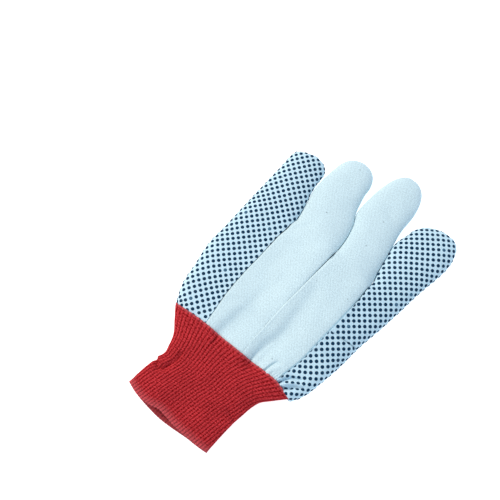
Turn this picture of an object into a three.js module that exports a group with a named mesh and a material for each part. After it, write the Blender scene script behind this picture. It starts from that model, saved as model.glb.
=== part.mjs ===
import * as THREE from 'three';

// A left hand work glove of dotted cotton canvas with a rib knit cuff. It lies on
// its palm with the fingers along +Y, and the thumb is folded under the palm.
// Millimetres, +Z up. In the tables x runs from the little finger's side to the
// index finger's side, and y from the cuff seam to the fingertips.

const { clamp, lerp, smoothstep } = THREE.MathUtils;

const CANVAS_WALL = 1.2;
const KNIT_WALL = 2;
const SEAM_GAP = 0.4;
const CUFF_SEAM_GAP = 0.6;
const FINGER_GAP = 0.5;

const RIB_COUNT = 72;
const RIB_HEIGHT = 0.5;

// The middle of the glove's box in the tables' plan, which becomes the origin
const MIDDLE = { x: -0.7, y: 61.1 };

const LANES = ['little', 'ring', 'middle', 'index'];
const LINES = ['littleSide', 'ringSeam', 'backSeam', 'indexSeam', 'indexSide'];

// x of the hand's two sides and of the three seams between the fingers' lanes
const HAND_LINES = [
  { y: -4, littleSide: -52.8, ringSeam: -25.8, backSeam: 8.6, indexSeam: 37.6, indexSide: 49.8 },
  { y: 10, littleSide: -60.4, ringSeam: -28.6, backSeam: 6.9, indexSeam: 38.7, indexSide: 58.1 },
  { y: 28, littleSide: -64.6, ringSeam: -31.9, backSeam: 4.8, indexSeam: 40.7, indexSide: 61.5 },
  { y: 46, littleSide: -68.7, ringSeam: -33.4, backSeam: 4.2, indexSeam: 41.2, indexSide: 63.3 },
  { y: 65, littleSide: -69.4, ringSeam: -33.9, backSeam: 4.7, indexSeam: 41.6, indexSide: 64.0 },
  { y: 85, littleSide: -70.6, ringSeam: -34.6, backSeam: 4.6, indexSeam: 41.4, indexSide: 66.2 },
  { y: 105, littleSide: -71.6, ringSeam: -34.1, backSeam: 4.2, indexSeam: 40.2, indexSide: 67.9 },
];

// Both sides of each finger above its crotch, and the round end of its tip
const FINGERS = {
  little: {
    rows: [
      { y: 118, left: -72.2, right: -37.7 },
      { y: 131, left: -72.8, right: -41.9 },
      { y: 142, left: -73.8, right: -44.3 },
    ],
    tip: { from: 138, to: 153.9, x: -59.0, bluntness: 2.8 },
  },
  ring: {
    rows: [
      { y: 118, left: -37.1, right: 3.5 },
      { y: 131, left: -40.8, right: -0.2 },
      { y: 140, left: -41.8, right: -5.5 },
      { y: 150, left: -42.0, right: -8.8 },
      { y: 159, left: -41.5, right: -11.1 },
    ],
    tip: { from: 157, to: 175.6, x: -26, bluntness: 2.1 },
  },
  middle: {
    rows: [
      { y: 118, left: 3.5, right: 36.8 },
      { y: 131, left: -0.2, right: 34.0 },
      { y: 140, left: -4.6, right: 31.6 },
      { y: 150, left: -5.8, right: 29.3 },
      { y: 159, left: -5.6, right: 28.1 },
    ],
    tip: { from: 157, to: 191.6, x: 8.8, bluntness: 2.3 },
  },
  index: {
    rows: [
      { y: 118, left: 36.8, right: 68.6 },
      { y: 131, left: 34.0, right: 69.8 },
      { y: 140, left: 32.2, right: 71.0 },
      { y: 150, left: 33.4, right: 72.0 },
      { y: 157, left: 36.2, right: 71.6 },
    ],
    tip: { from: 153, to: 175.2, x: 59.0, bluntness: 2.1 },
  },
};

// y of the rows across the hand where they meet each line. The thumb's seam
// crosses the back near the index side and dips to the thumb's fold on the palm.
const CUFF_SEAM = { littleSide: -3.2, ringSeam: 1.2, backSeam: 4.2, indexSeam: 5.9, indexSide: 1.8 };
const THUMB_SEAM_BACK = { littleSide: 57, ringSeam: 57, backSeam: 57, indexSeam: 57.5, indexSide: 61.8 };
const THUMB_SEAM_PALM = { littleSide: 57, ringSeam: 50, backSeam: 47, indexSeam: 50, indexSide: 61.8 };
const CROTCH = { littleSide: 98, ringSeam: 103, backSeam: 107, indexSeam: 105, indexSide: 101 };

// Heights at each level: 0 the cuff seam, 1 the thumb's seam, 2 the crotches and 3
// where the tips begin. Every lane has a crown, and every seam a valley beside it.
const CROWNS = [
  { level: 0, little: 12.2, ring: 12.7, middle: 12.8, index: 12.2 },
  { level: 0.5, little: 11.6, ring: 12.0, middle: 12.4, index: 12.2 },
  { level: 1, little: 11.6, ring: 12.0, middle: 12.4, index: 12.4 },
  { level: 1.5, little: 11.8, ring: 12.4, middle: 12.6, index: 12.6 },
  { level: 2, little: 12.0, ring: 12.6, middle: 12.8, index: 12.8 },
  { level: 3, little: 11.4, ring: 12.0, middle: 12.4, index: 12.2 },
];
const VALLEYS = [
  { level: 0, ringSeam: 12.3, backSeam: 13.1, indexSeam: 12.4 },
  { level: 0.5, ringSeam: 11.4, backSeam: 12.8, indexSeam: 12.0 },
  { level: 1, ringSeam: 11.2, backSeam: 12.4, indexSeam: 11.8 },
  { level: 1.5, ringSeam: 10.4, backSeam: 11.2, indexSeam: 10.8 },
  { level: 2, ringSeam: 7.8, backSeam: 7.8, indexSeam: 7.8 },
  { level: 3, ringSeam: 7.8, backSeam: 7.8, indexSeam: 7.8 },
];
const SIDE_TOP = 7.8;
const SIDE_BOTTOM = 4.2;
const VALLEY_FLOOR_FROM = 1.5;

// The profile of a section's upper side, and the share of its lower side that is flat
const DOME_POWER = 2.4;
const DOME_ROOT = 0.6;
const FLAT_SHARE = 0.5;

// Shallow valleys in the back: beside the long seam, then the pleats at the cuff
const FOLDS = [
  { from: { x: 9.5, y: 6 }, to: { x: 15.5, y: 68 }, halfWidth: 5, depth: 0.9 },
  { from: { x: 14.6, y: 3 }, to: { x: 15.8, y: 13 }, halfWidth: 3.4, depth: 0.8 },
  { from: { x: 27.0, y: 4 }, to: { x: 29.4, y: 16 }, halfWidth: 3.6, depth: 1.1 },
  { from: { x: 46.0, y: 7 }, to: { x: 51.0, y: 15 }, halfWidth: 4, depth: 0.9 },
  { from: { x: -16.0, y: 2 }, to: { x: -13.0, y: 26 }, halfWidth: 5, depth: 0.8 },
];

// The thumb under the palm: a flat tube from its fold to its round tip
const THUMB = {
  rootX: 22.6,
  tipX: 16.5,
  fold: 47,
  roundFrom: 82,
  tip: 99,
  halfWidth: 18.4,
  height: 8.5,
  sideTop: 5.6,
  sideBottom: 2.9,
  flushTo: 0.72,
  foldDrop: 0.5,
};

// The thumb's rings: shares of its straight length, then of its round end
const THUMB_RINGS = [
  { along: 0.22, end: 0 },
  { along: 0.45, end: 0 },
  { along: 0.72, end: 0 },
  { along: 1, end: 0 },
  { along: 1, end: 0.35 },
  { along: 1, end: 0.62 },
  { along: 1, end: 0.84 },
];

// The thumb lifts the cloth above it: by these heights, easing off over these lengths
const THUMB_LIFT = {
  palm: 9.2,
  palmReach: 10,
  back: 5.6,
  backReach: 16,
  inside: 4,
  beforeFold: 20,
  afterFold: 1,
  beforeTip: 2,
  afterTip: 3,
};

// Both sides of the cuff, at shares of its length from the seam to its open end
const CUFF_SIDES = [
  { share: 0, left: -53.0, right: 52.0 },
  { share: 0.14, left: -45.3, right: 44.6 },
  { share: 0.23, left: -40.0, right: 40.2 },
  { share: 0.34, left: -35.8, right: 37.9 },
  { share: 0.47, left: -33.2, right: 37.1 },
  { share: 0.6, left: -34.4, right: 36.3 },
  { share: 0.8, left: -35.7, right: 36.4 },
  { share: 1, left: -36.0, right: 36.6 },
];
const CUFF_ROWS = [0, 0.12, 0.25, 0.44, 0.66, 1];
const CUFF_CROWN = 12.9;
const CUFF_END_DROP = 2.2;
const CUFF_END_UPPER = [
  { u: -1, y: -66.9 },
  { u: -0.5, y: -67.9 },
  { u: 0, y: -65.2 },
  { u: 1, y: -62.8 },
];
const CUFF_END_LOWER = [
  { u: -1, y: -66.9 },
  { u: -0.7, y: -69.0 },
  { u: -0.4, y: -69.4 },
  { u: 0.2, y: -67.0 },
  { u: 1, y: -62.8 },
];

// The rows of cells across the hand and the fingers; a tip ends at level 4
const HAND_LEVELS = [0, 0.1, 0.2, 0.3, 0.42, 0.56, 0.7, 0.85, 1, 1.006, 1.25, 1.5, 1.75, 2];
const FINGER_LEVELS = [2, 2.014, 2.25, 2.5, 2.75, 3, 3.28, 3.53, 3.7, 3.76, 3.89];
const BACK_COLUMNS = [-0.86, -0.6, -0.4, -0.2, 0.2, 0.4, 0.6, 0.86];
const PALM_SIDE_COLUMN = 0.82;
const PALM_COLUMN = 0.2;
const THUMB_HOLE_FROM = 0.42;
const FRONT_ENDS_AT = 3.7;

// Where the white backs end on the palm side of the ring and middle fingers
const FRONT_EDGE = 0.6;

// At a sharp bend the wall's inner side moves out by no more than this factor
const MOST_STRETCH = 1.33;
const OUTLINE_STEPS = 200;

const COLOURS = {
  dottedCanvas: '#b9d3e0',
  plainCanvas: '#cde8f1',
  knit: '#b02d36',
};

// A smooth curve through one column of a table, straight beyond its ends
function curve(rows, along, column) {
  const at = rows.map((row) => row[along]);
  const values = rows.map((row) => row[column]);
  const last = at.length - 1;
  const slopes = at.map((_, i) => {
    const before = Math.max(i - 1, 0);
    const after = Math.min(i + 1, last);
    return (values[after] - values[before]) / (at[after] - at[before]);
  });
  return (x) => {
    if (x <= at[0]) return values[0] + slopes[0] * (x - at[0]);
    if (x >= at[last]) return values[last] + slopes[last] * (x - at[last]);
    const i = at.findIndex((value) => value > x) - 1;
    const width = at[i + 1] - at[i];
    const t = (x - at[i]) / width;
    const s = 1 - t;
    return s * s * (1 + 2 * t) * values[i] + t * t * (1 + 2 * s) * values[i + 1]
      + s * s * t * width * slopes[i] - t * t * s * width * slopes[i + 1];
  };
}

// The lines along the hand, and both sides of each finger as they carry on
const handLine = {};
for (const line of LINES) handLine[line] = curve(HAND_LINES, 'y', line);

function fingerSide(finger, side, line) {
  const hand = HAND_LINES.map((row) => ({ y: row.y, x: row[line] }));
  const rows = FINGERS[finger].rows.map((row) => ({ y: row.y, x: row[side] }));
  return curve([...hand, ...rows], 'y', 'x');
}

const fingerLine = {};
LANES.forEach((finger, i) => {
  fingerLine[finger] = {
    left: fingerSide(finger, 'left', LINES[i]),
    right: fingerSide(finger, 'right', LINES[i + 1]),
  };
});

const crown = {};
for (const lane of LANES) crown[lane] = curve(CROWNS, 'level', lane);
const valley = {};
for (const line of LINES.slice(1, 4)) valley[line] = curve(VALLEYS, 'level', line);

const cuffSeam = curve(
  LINES.map((line) => ({ x: handLine[line](CUFF_SEAM[line]), y: CUFF_SEAM[line] })), 'x', 'y',
);

// The two profiles that every section is made of, over u from -1 to 1
function domeProfile(u) {
  return Math.pow(Math.max(0, 1 - Math.pow(Math.abs(u), DOME_POWER)), DOME_ROOT);
}

function flatProfile(u) {
  const t = Math.max(0, (Math.abs(u) - FLAT_SHARE) / (1 - FLAT_SHARE));
  return Math.sqrt(Math.max(0, 1 - t * t));
}

// How far the thumb below lifts the cloth at a place, as a share of the whole lift
function thumbShare(x, y, reach) {
  const across = Math.abs(x - thumbCentre(y)) - THUMB.halfWidth;
  const { inside, beforeFold, afterFold, beforeTip, afterTip } = THUMB_LIFT;
  const overWidth = 1 - smoothstep(across, -inside, reach);
  const overRoot = smoothstep(y, THUMB.fold - beforeFold, THUMB.fold + afterFold);
  const overTip = 1 - smoothstep(y, THUMB.tip - beforeTip, THUMB.tip + afterTip + reach);
  return overWidth * overRoot * overTip;
}

function thumbCentre(y) {
  return lerp(THUMB.rootX, THUMB.tipX, (y - THUMB.fold) / (THUMB.tip - THUMB.fold));
}

// How deep the folds lie at a place, each fading with the distance from its line
function foldDepth(x, y) {
  const depths = FOLDS.map((fold) => {
    const away = distanceToLine(fold.from, fold.to, x, y) / fold.halfWidth;
    return fold.depth * Math.exp(-away * away);
  });
  return depths.reduce((total, depth) => total + depth, 0);
}

function distanceToLine(from, to, x, y) {
  const [dx, dy] = [to.x - from.x, to.y - from.y];
  const along = clamp(((x - from.x) * dx + (y - from.y) * dy) / (dx * dx + dy * dy), 0, 1);
  return Math.hypot(x - from.x - along * dx, y - from.y - along * dy);
}

function rowY(line, side, level) {
  const thumbSeam = side === 'palm' ? THUMB_SEAM_PALM : THUMB_SEAM_BACK;
  if (level <= 1) return lerp(CUFF_SEAM[line], thumbSeam[line], level);
  return lerp(thumbSeam[line], CROTCH[line], level - 1);
}

// The place of a point in plan: lane, side, u across the lane and level along it
function handPlan(lane, side, u, level) {
  const [left, right] = [LINES[lane], LINES[lane + 1]];
  const share = (u + 1) / 2;
  const leftY = rowY(left, side, level);
  const rightY = rowY(right, side, level);
  const x = lerp(handLine[left](leftY), handLine[right](rightY), share);
  let y = lerp(leftY, rightY, share);
  if (level < 1) {
    const seamX = lerp(handLine[left](CUFF_SEAM[left]), handLine[right](CUFF_SEAM[right]), share);
    const straight = lerp(CUFF_SEAM[left], CUFF_SEAM[right], share);
    y += (cuffSeam(seamX) - straight) * (1 - level);
  }
  return { x, y, narrowing: 1 };
}

function fingerPlan(lane, u, level) {
  const finger = LANES[lane];
  const { tip } = FINGERS[finger];
  const share = (u + 1) / 2;
  const along = Math.min(level - 2, 1);
  const leftY = lerp(CROTCH[LINES[lane]], tip.from, along);
  const rightY = lerp(CROTCH[LINES[lane + 1]], tip.from, along);
  const leftX = fingerLine[finger].left(leftY) + (lane > 0 ? FINGER_GAP / 2 : 0);
  const rightX = fingerLine[finger].right(rightY) - (lane < 3 ? FINGER_GAP / 2 : 0);
  const x = lerp(leftX, rightX, share);
  const y = lerp(leftY, rightY, share);
  if (level <= 3) return { x, y, narrowing: 1 };
  const turn = (level - 3) * Math.PI / 2;
  const narrowing = Math.pow(Math.cos(turn), 2 / tip.bluntness);
  const reach = Math.pow(Math.sin(turn), 2 / tip.bluntness);
  return { x: lerp(tip.x, x, narrowing), y: lerp(tip.from, tip.to, reach), narrowing };
}

function edgeHeights(line, level) {
  const outer = line === 'littleSide' || line === 'indexSide';
  if (outer || level >= 2) return { top: SIDE_TOP, bottom: SIDE_BOTTOM };
  const bottom = SIDE_BOTTOM * smoothstep(level, VALLEY_FLOOR_FROM, 2);
  return { top: valley[line](level), bottom };
}

function glovePoint(lane, side, u, level) {
  const plan = level <= 2 ? handPlan(lane, side, u, level) : fingerPlan(lane, u, level);
  const share = (u + 1) / 2;
  const left = edgeHeights(LINES[lane], level);
  const right = edgeHeights(LINES[lane + 1], level);
  let z;
  if (side === 'back') {
    const edge = lerp(left.top, right.top, share);
    z = edge + (crown[LANES[lane]](Math.min(level, 3)) - edge) * domeProfile(u);
    z += THUMB_LIFT.back * thumbShare(plan.x, plan.y, THUMB_LIFT.backReach);
    z -= foldDepth(plan.x, plan.y);
  } else {
    const edge = lerp(left.bottom, right.bottom, share) * (1 - flatProfile(u));
    z = lerp(edge, THUMB_LIFT.palm, thumbShare(plan.x, plan.y, THUMB_LIFT.palmReach));
  }
  const middle = (SIDE_TOP + SIDE_BOTTOM) / 2;
  z = lerp(middle, z, plan.narrowing);
  return new THREE.Vector3(plan.x, plan.y, z);
}

// A surface of cells in which each cell belongs to one sewn piece. A cell in a
// seam's gap has no piece: it only keeps the wall's direction smooth there.
class Surface {
  constructor() {
    this.points = [];
    this.cells = [];
    this.idByKey = new Map();
    this.level = new Set();
  }

  point(key, place) {
    if (!this.idByKey.has(key)) this.idByKey.set(key, this.points.push(place()) - 1);
    return this.idByKey.get(key);
  }

  addCell(piece, corners) {
    this.cells.push({ piece, corners });
  }

  // Unit normals at the points, each with the stretch that keeps the wall's thickness
  insets() {
    const faces = this.cells.map(({ corners }) => faceNormal(corners.map((i) => this.points[i])));
    const sums = this.points.map(() => new THREE.Vector3());
    this.cells.forEach(({ corners }, c) => corners.forEach((i) => sums[i].add(faces[c])));
    sums.forEach((sum, i) => {
      if (this.level.has(i)) sum.y = 0;
      sum.normalize();
    });
    const facing = this.points.map(() => []);
    this.cells.forEach(({ corners }, c) => {
      corners.forEach((i) => facing[i].push(sums[i].dot(faces[c])));
    });
    return sums.map((sum, i) => {
      const mean = facing[i].reduce((total, value) => total + value, 0) / facing[i].length;
      return sum.multiplyScalar(Math.min(1 / mean, MOST_STRETCH));
    });
  }

  // The closed solid of one piece, its wall laid inwards from the surface
  solid(piece, wall) {
    const insets = this.insets();
    const inner = this.points.map((point, i) => point.clone().addScaledVector(insets[i], -wall));
    const cells = this.cells.filter((cell) => cell.piece === piece).map((cell) => cell.corners);
    return shellGeometry(this.points, inner, cells);
  }
}

function faceNormal(corners) {
  const last = corners.length - 1;
  const across = corners[last].clone().sub(corners[0]);
  const along = corners[1].clone().sub(corners[0]);
  if (corners.length === 4) {
    across.copy(corners[3]).sub(corners[1]);
    along.copy(corners[2]).sub(corners[0]);
  }
  return along.cross(across).normalize();
}

// A closed shell from outer and inner points that share one set of cells
function shellGeometry(outer, inner, cells) {
  const count = outer.length;
  const triangles = [];
  const addPolygon = (ids) => {
    for (let i = 1; i < ids.length - 1; i += 1) triangles.push(ids[0], ids[i], ids[i + 1]);
  };
  const edges = new Set();
  for (const ids of cells) ids.forEach((id, i) => edges.add(`${id} ${ids[(i + 1) % ids.length]}`));
  for (const ids of cells) {
    addPolygon(ids);
    const turned = ids.map((id) => id + count);
    addPolygon([turned[0], ...turned.slice(1).reverse()]);
    ids.forEach((a, i) => {
      const b = ids[(i + 1) % ids.length];
      if (!edges.has(`${b} ${a}`)) addPolygon([b, a, a + count, b + count]);
    });
  }
  return meshGeometry([...outer, ...inner], triangles);
}

function meshGeometry(points, triangles) {
  const kept = [...new Set(triangles)];
  const newId = new Map(kept.map((id, i) => [id, i]));
  const geometry = new THREE.BufferGeometry();
  const coordinates = kept.flatMap((id) => points[id].toArray());
  geometry.setAttribute('position', new THREE.Float32BufferAttribute(coordinates, 3));
  geometry.setIndex(triangles.map((id) => newId.get(id)));
  geometry.computeVertexNormals();
  return geometry;
}

// The columns of cells round one lane: over the back, then back under the palm.
// A column with a gap lies one seam gap from its u, towards that side.
function laneColumns(lane) {
  const seamOnBack = lane === 0 ? [] : [{ side: 'back', u: -1, gap: 1 }];
  const seamOnPalm = lane === 2 ? [{ side: 'palm', u: -1, gap: 1 }] : [];
  const front = lane === 1 || lane === 2;
  const palmRight = front ? [{ side: 'palm', u: FRONT_EDGE, gap: 1 }] : [];
  const palmLeft = front ? [{ side: 'palm', u: -FRONT_EDGE, gap: -1 }] : [];
  const on = (side, ...list) => list.map((u) => ({ side, u, gap: 0 }));
  return [
    ...on('back', -1), ...seamOnBack, ...on('back', ...BACK_COLUMNS, 1),
    ...on('palm', 1, PALM_SIDE_COLUMN), ...palmRight,
    ...on('palm', FRONT_EDGE, PALM_COLUMN, -PALM_COLUMN, -FRONT_EDGE),
    ...palmLeft, ...on('palm', -PALM_SIDE_COLUMN), ...seamOnPalm, ...on('palm', -1),
  ];
}

// The piece that a cell belongs to, or null in the gap of a seam
function pieceOf(lane, from, to, level) {
  const hasWhiteBack = lane === 1 || lane === 2;
  const white = lane === 1 ? 'ring_back_strip' : 'middle_back_strip';
  const onSide = from.side !== to.side;
  const besideSeam = lane > 0 && from.u === -1 && to.u === -1;
  if (level === 2 && besideSeam && (onSide || from.side === 'back')) return null;
  if (level >= 2) return hasWhiteBack ? frontOrBack(white, from, to, level) : 'palm_panel';
  if (from.side === 'back' && from.u === -1 && to.gap === 1) return null;
  if (from.side === 'back' && hasWhiteBack) return white;
  const overThumb = lane === 3 || (lane === 2 && from.side === 'palm');
  if (!overThumb || level > 1) return 'palm_panel';
  const inPalmSeam = lane === 2 && from.u === -1 && from.gap === 1;
  return level === 1 || inPalmSeam ? null : 'thumb_panel';
}

// On the ring and middle fingers the dotted front lies between the white sides
function frontOrBack(white, from, to, level) {
  const edge = Math.max(Math.abs(from.u), Math.abs(to.u));
  const inFront = from.side === 'palm' && to.side === 'palm' && edge <= FRONT_EDGE;
  if (inFront && from.gap !== to.gap) return level > FRONT_ENDS_AT ? white : null;
  if (inFront && level === FRONT_ENDS_AT) return null;
  if (inFront && level < FRONT_ENDS_AT) return 'palm_panel';
  const joinsPalm = from.side === 'palm' || to.side === 'palm';
  return level === 2 && joinsPalm ? null : white;
}

// Neighbouring lanes share their points on a line as far as the crotches
function columnKey(lane, column, level) {
  const isLine = Math.abs(column.u) === 1 && column.gap === 0;
  if (isLine && level <= 2) return `${column.side} line ${lane + (column.u > 0 ? 1 : 0)} ${level}`;
  return `${column.side} lane ${lane} ${column.u} ${column.gap} ${level}`;
}

function laneHalfWidth(lane, side, level) {
  const left = glovePoint(lane, side, -1, level);
  const right = glovePoint(lane, side, 1, level);
  return left.distanceTo(right) / 2;
}

function columnPoint(surface, lane, column, level) {
  return surface.point(columnKey(lane, column, level), () => {
    const offset = column.gap * SEAM_GAP / laneHalfWidth(lane, column.side, level);
    return glovePoint(lane, column.side, column.u + offset, level);
  });
}

function addLane(surface, lane) {
  const columns = laneColumns(lane);
  const levels = [...HAND_LEVELS, ...FINGER_LEVELS.slice(1)];
  const innerSide = (from, to, level) => level < 2 && from.side !== to.side
    && !(lane === 0 && from.u === -1) && !(lane === 3 && from.u === 1);
  columns.forEach((from, i) => {
    const to = columns[(i + 1) % columns.length];
    for (let row = 0; row < levels.length - 1; row += 1) {
      const [level, next] = [levels[row], levels[row + 1]];
      if (innerSide(from, to, level)) continue;
      const corners = [
        columnPoint(surface, lane, from, level), columnPoint(surface, lane, to, level),
        columnPoint(surface, lane, to, next), columnPoint(surface, lane, from, next),
      ];
      if (!isThumbHole(lane, from, level)) surface.addCell(pieceOf(lane, from, to, level), corners);
      if (row === 0) surface.level.add(corners[0]);
    }
    const lastLevel = levels[levels.length - 1];
    const pole = surface.point(`pole ${lane}`, () => glovePoint(lane, 'back', 0, 4));
    surface.addCell(pieceOf(lane, from, to, lastLevel), [
      columnPoint(surface, lane, from, lastLevel), columnPoint(surface, lane, to, lastLevel), pole,
    ]);
  });
}

function isThumbHole(lane, from, level) {
  const inLane = lane === 2 && from.side === 'palm' && !(from.u === -1 && from.gap === 1);
  return inLane && from.u > -1 && level >= THUMB_HOLE_FROM && level < 1;
}

// The rim of the thumb's hole in the palm, from the cuff side round to the left
function thumbRim(surface) {
  const columns = laneColumns(2).filter((column) => column.side === 'palm').reverse();
  const across = columns.filter((column) => column.u > -1 || column.gap === 1);
  const levels = HAND_LEVELS.filter((level) => level > THUMB_HOLE_FROM && level < 1);
  const at = (column, level) => columnPoint(surface, 2, column, level);
  const lastColumn = across[across.length - 1];
  return {
    across: across.length,
    along: levels.length,
    ids: [
      ...across.map((column) => at(column, THUMB_HOLE_FROM)),
      ...levels.map((level) => at(lastColumn, level)),
      ...across.map((column) => at(column, 1)).reverse(),
      ...levels.map((level) => at(across[0], level)).reverse(),
    ],
  };
}

// A point of the thumb's tube: u and height round its section, then the share of
// its straight length and the share of its round end
function thumbPoint(u, rise, along, end, holeY) {
  const lowY = lerp(holeY, THUMB.roundFrom, along);
  const highY = lerp(THUMB.fold, THUMB.roundFrom, along);
  const straightY = lerp(lowY, highY, rise);
  const turn = end * Math.PI / 2;
  const y = lerp(straightY, THUMB.tip, Math.sin(turn));
  const narrowing = Math.cos(turn);
  const sideBottom = THUMB.sideBottom * smoothstep(along, 0, THUMB.flushTo);
  const bottom = sideBottom * (1 - flatProfile(u));
  const top = THUMB.sideTop + (THUMB.height - THUMB.sideTop) * domeProfile(u);
  const middle = (THUMB.sideTop + THUMB.sideBottom) / 2;
  const z = lerp(middle, lerp(bottom, top, rise), narrowing);
  return new THREE.Vector3(thumbCentre(y) + u * THUMB.halfWidth * narrowing, y, z);
}

function thumbRing(surface, rim, ring, along, end, holeY) {
  const corner = rim.across - 1;
  const places = [];
  for (let i = 0; i <= corner; i += 1) places.push([-1 + 2 * i / corner, 0]);
  for (let i = 1; i <= rim.along; i += 1) places.push([1, i / (rim.along + 1)]);
  for (let i = corner; i >= 0; i -= 1) places.push([-1 + 2 * i / corner, 1]);
  for (let i = rim.along; i >= 1; i -= 1) places.push([-1, i / (rim.along + 1)]);
  return places.map(([u, rise], i) => surface.point(
    `thumb ${ring} ${i}`, () => thumbPoint(u, rise, along, end, holeY),
  ));
}

function addThumb(surface) {
  const rim = thumbRim(surface);
  const holeY = glovePoint(2, 'palm', 0, THUMB_HOLE_FROM).y;
  lowerFold(surface);
  const rings = [rim.ids];
  THUMB_RINGS.forEach(({ along, end }, i) => {
    rings.push(thumbRing(surface, rim, i, along, end, holeY));
  });
  const next = (i) => (i + 1) % rim.ids.length;
  for (let r = 0; r < rings.length - 1; r += 1) {
    const [a, b] = [rings[r], rings[r + 1]];
    a.forEach((_, i) => surface.addCell('thumb_panel', [a[i], b[i], b[next(i)], a[next(i)]]));
  }
  const tip = surface.point('thumb tip', () => thumbPoint(0, 0.5, 1, 1, holeY));
  const last = rings[rings.length - 1];
  last.forEach((_, i) => surface.addCell('thumb_panel', [last[i], tip, last[next(i)]]));
}

// At the fold the thumb's own edge lies a little below the palm's
function lowerFold(surface) {
  for (const column of laneColumns(2)) {
    const onFold = column.side === 'palm' && (column.u > -1 || column.gap === 1);
    if (onFold) surface.points[columnPoint(surface, 2, column, 1)].z -= THUMB.foldDrop;
  }
}

// The cuff's section at a share of its length, as points at equal steps round it
const cuffLeft = curve(CUFF_SIDES, 'share', 'left');
const cuffRight = curve(CUFF_SIDES, 'share', 'right');
const cuffEndUpper = curve(CUFF_END_UPPER, 'u', 'y');
const cuffEndLower = curve(CUFF_END_LOWER, 'u', 'y');

function cuffPoint(side, u, share) {
  const width = (u + 1) / 2;
  const x = lerp(cuffLeft(share), cuffRight(share), width);
  const seamX = lerp(cuffLeft(0), cuffRight(0), width);
  const crownHere = CUFF_CROWN - CUFF_END_DROP * share * width;
  const foot = RIB_HEIGHT / 2;
  const top = SIDE_TOP + (crownHere - SIDE_TOP) * Math.sqrt(Math.max(0, 1 - u ** 4));
  const bottom = foot + (SIDE_BOTTOM - foot) * (1 - flatProfile(u));
  const end = side === 'back' ? cuffEndUpper(u) : cuffEndLower(u);
  const y = lerp(cuffSeam(seamX) - CUFF_SEAM_GAP, end, share);
  return new THREE.Vector3(x, y, side === 'back' ? top : bottom);
}

function cuffSection(share) {
  const outline = [];
  for (const [side, start] of [['back', -1], ['palm', 1]]) {
    for (let i = 0; i <= OUTLINE_STEPS; i += 1) {
      outline.push(cuffPoint(side, start * Math.cos(Math.PI * i / OUTLINE_STEPS), share));
    }
  }
  outline.push(outline[0]);
  return stepsAlong(outline, RIB_COUNT * 2);
}

// Points at equal steps along a closed outline
function stepsAlong(outline, count) {
  const lengths = [0];
  for (let i = 1; i < outline.length; i += 1) {
    lengths.push(lengths[i - 1] + outline[i].distanceTo(outline[i - 1]));
  }
  const total = lengths[lengths.length - 1];
  const points = [];
  let i = 1;
  for (let step = 0; step < count; step += 1) {
    const target = total * step / count;
    while (lengths[i] < target) i += 1;
    const share = (target - lengths[i - 1]) / (lengths[i] - lengths[i - 1]);
    points.push(outline[i - 1].clone().lerp(outline[i], share));
  }
  return points;
}

function cuffGeometry() {
  const [outer, inner, cells] = [[], [], []];
  const around = RIB_COUNT * 2;
  CUFF_ROWS.forEach((share, row) => {
    const section = cuffSection(share);
    section.forEach((point, i) => {
      const along = section[(i + 1) % around].clone().sub(section[(i + around - 1) % around]);
      const outward = new THREE.Vector3(-along.z, 0, along.x).normalize();
      const rib = (i % 2 === 0 ? 0.5 : -0.5) * RIB_HEIGHT;
      outer.push(point.clone().addScaledVector(outward, rib));
      inner.push(point.clone().addScaledVector(outward, -KNIT_WALL));
      if (row === 0) return;
      const here = row * around + i;
      const beside = row * around + (i + 1) % around;
      cells.push([here - around, here, beside, beside - around]);
    });
  });
  return shellGeometry(outer, inner, cells);
}

function clothMaterial(colour) {
  return new THREE.MeshStandardMaterial({ color: colour, roughness: 0.95, metalness: 0 });
}

function namedMesh(name, geometry, colour) {
  const mesh = new THREE.Mesh(geometry, clothMaterial(colour));
  mesh.name = name;
  return mesh;
}

const canvas = new Surface();
LANES.forEach((_, lane) => addLane(canvas, lane));
addThumb(canvas);

const glove = new THREE.Group();
glove.name = 'dotted_glove';
glove.add(
  namedMesh('palm_panel', canvas.solid('palm_panel', CANVAS_WALL), COLOURS.dottedCanvas),
  namedMesh('thumb_panel', canvas.solid('thumb_panel', CANVAS_WALL), COLOURS.dottedCanvas),
  namedMesh('ring_back_strip', canvas.solid('ring_back_strip', CANVAS_WALL), COLOURS.plainCanvas),
  namedMesh('middle_back_strip', canvas.solid('middle_back_strip', CANVAS_WALL), COLOURS.plainCanvas),
  namedMesh('knit_cuff', cuffGeometry(), COLOURS.knit),
);
glove.position.set(-MIDDLE.x, -MIDDLE.y, 0);

export default glove;
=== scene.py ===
import math
from collections import namedtuple

import bpy
import numpy as np
from bpy.props import FloatProperty, FloatVectorProperty, PointerProperty
from mathutils.bvhtree import BVHTree
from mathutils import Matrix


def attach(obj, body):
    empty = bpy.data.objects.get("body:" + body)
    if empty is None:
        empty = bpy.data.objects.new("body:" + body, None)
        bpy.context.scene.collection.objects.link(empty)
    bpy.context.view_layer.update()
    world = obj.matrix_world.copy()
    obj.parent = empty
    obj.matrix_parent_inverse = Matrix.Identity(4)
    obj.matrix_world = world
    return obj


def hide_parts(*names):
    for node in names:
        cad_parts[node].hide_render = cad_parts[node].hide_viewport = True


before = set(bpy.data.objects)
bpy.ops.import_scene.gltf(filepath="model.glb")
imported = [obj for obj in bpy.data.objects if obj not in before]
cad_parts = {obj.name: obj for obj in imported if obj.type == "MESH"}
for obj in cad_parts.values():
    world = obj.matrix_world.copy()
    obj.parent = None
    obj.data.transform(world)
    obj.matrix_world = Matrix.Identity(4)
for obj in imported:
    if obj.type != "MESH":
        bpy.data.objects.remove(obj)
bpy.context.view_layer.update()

bl_info = {
    "name": "Dotted work glove",
    "version": (1, 0, 0),
    "blender": (4, 5, 0),
    "location": "3D View > Sidebar > Glove",
    "description": "Models a dotted canvas work glove with a rib knit cuff",
    "category": "Object",
}

MM = 0.001
BODY = "root"

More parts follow.
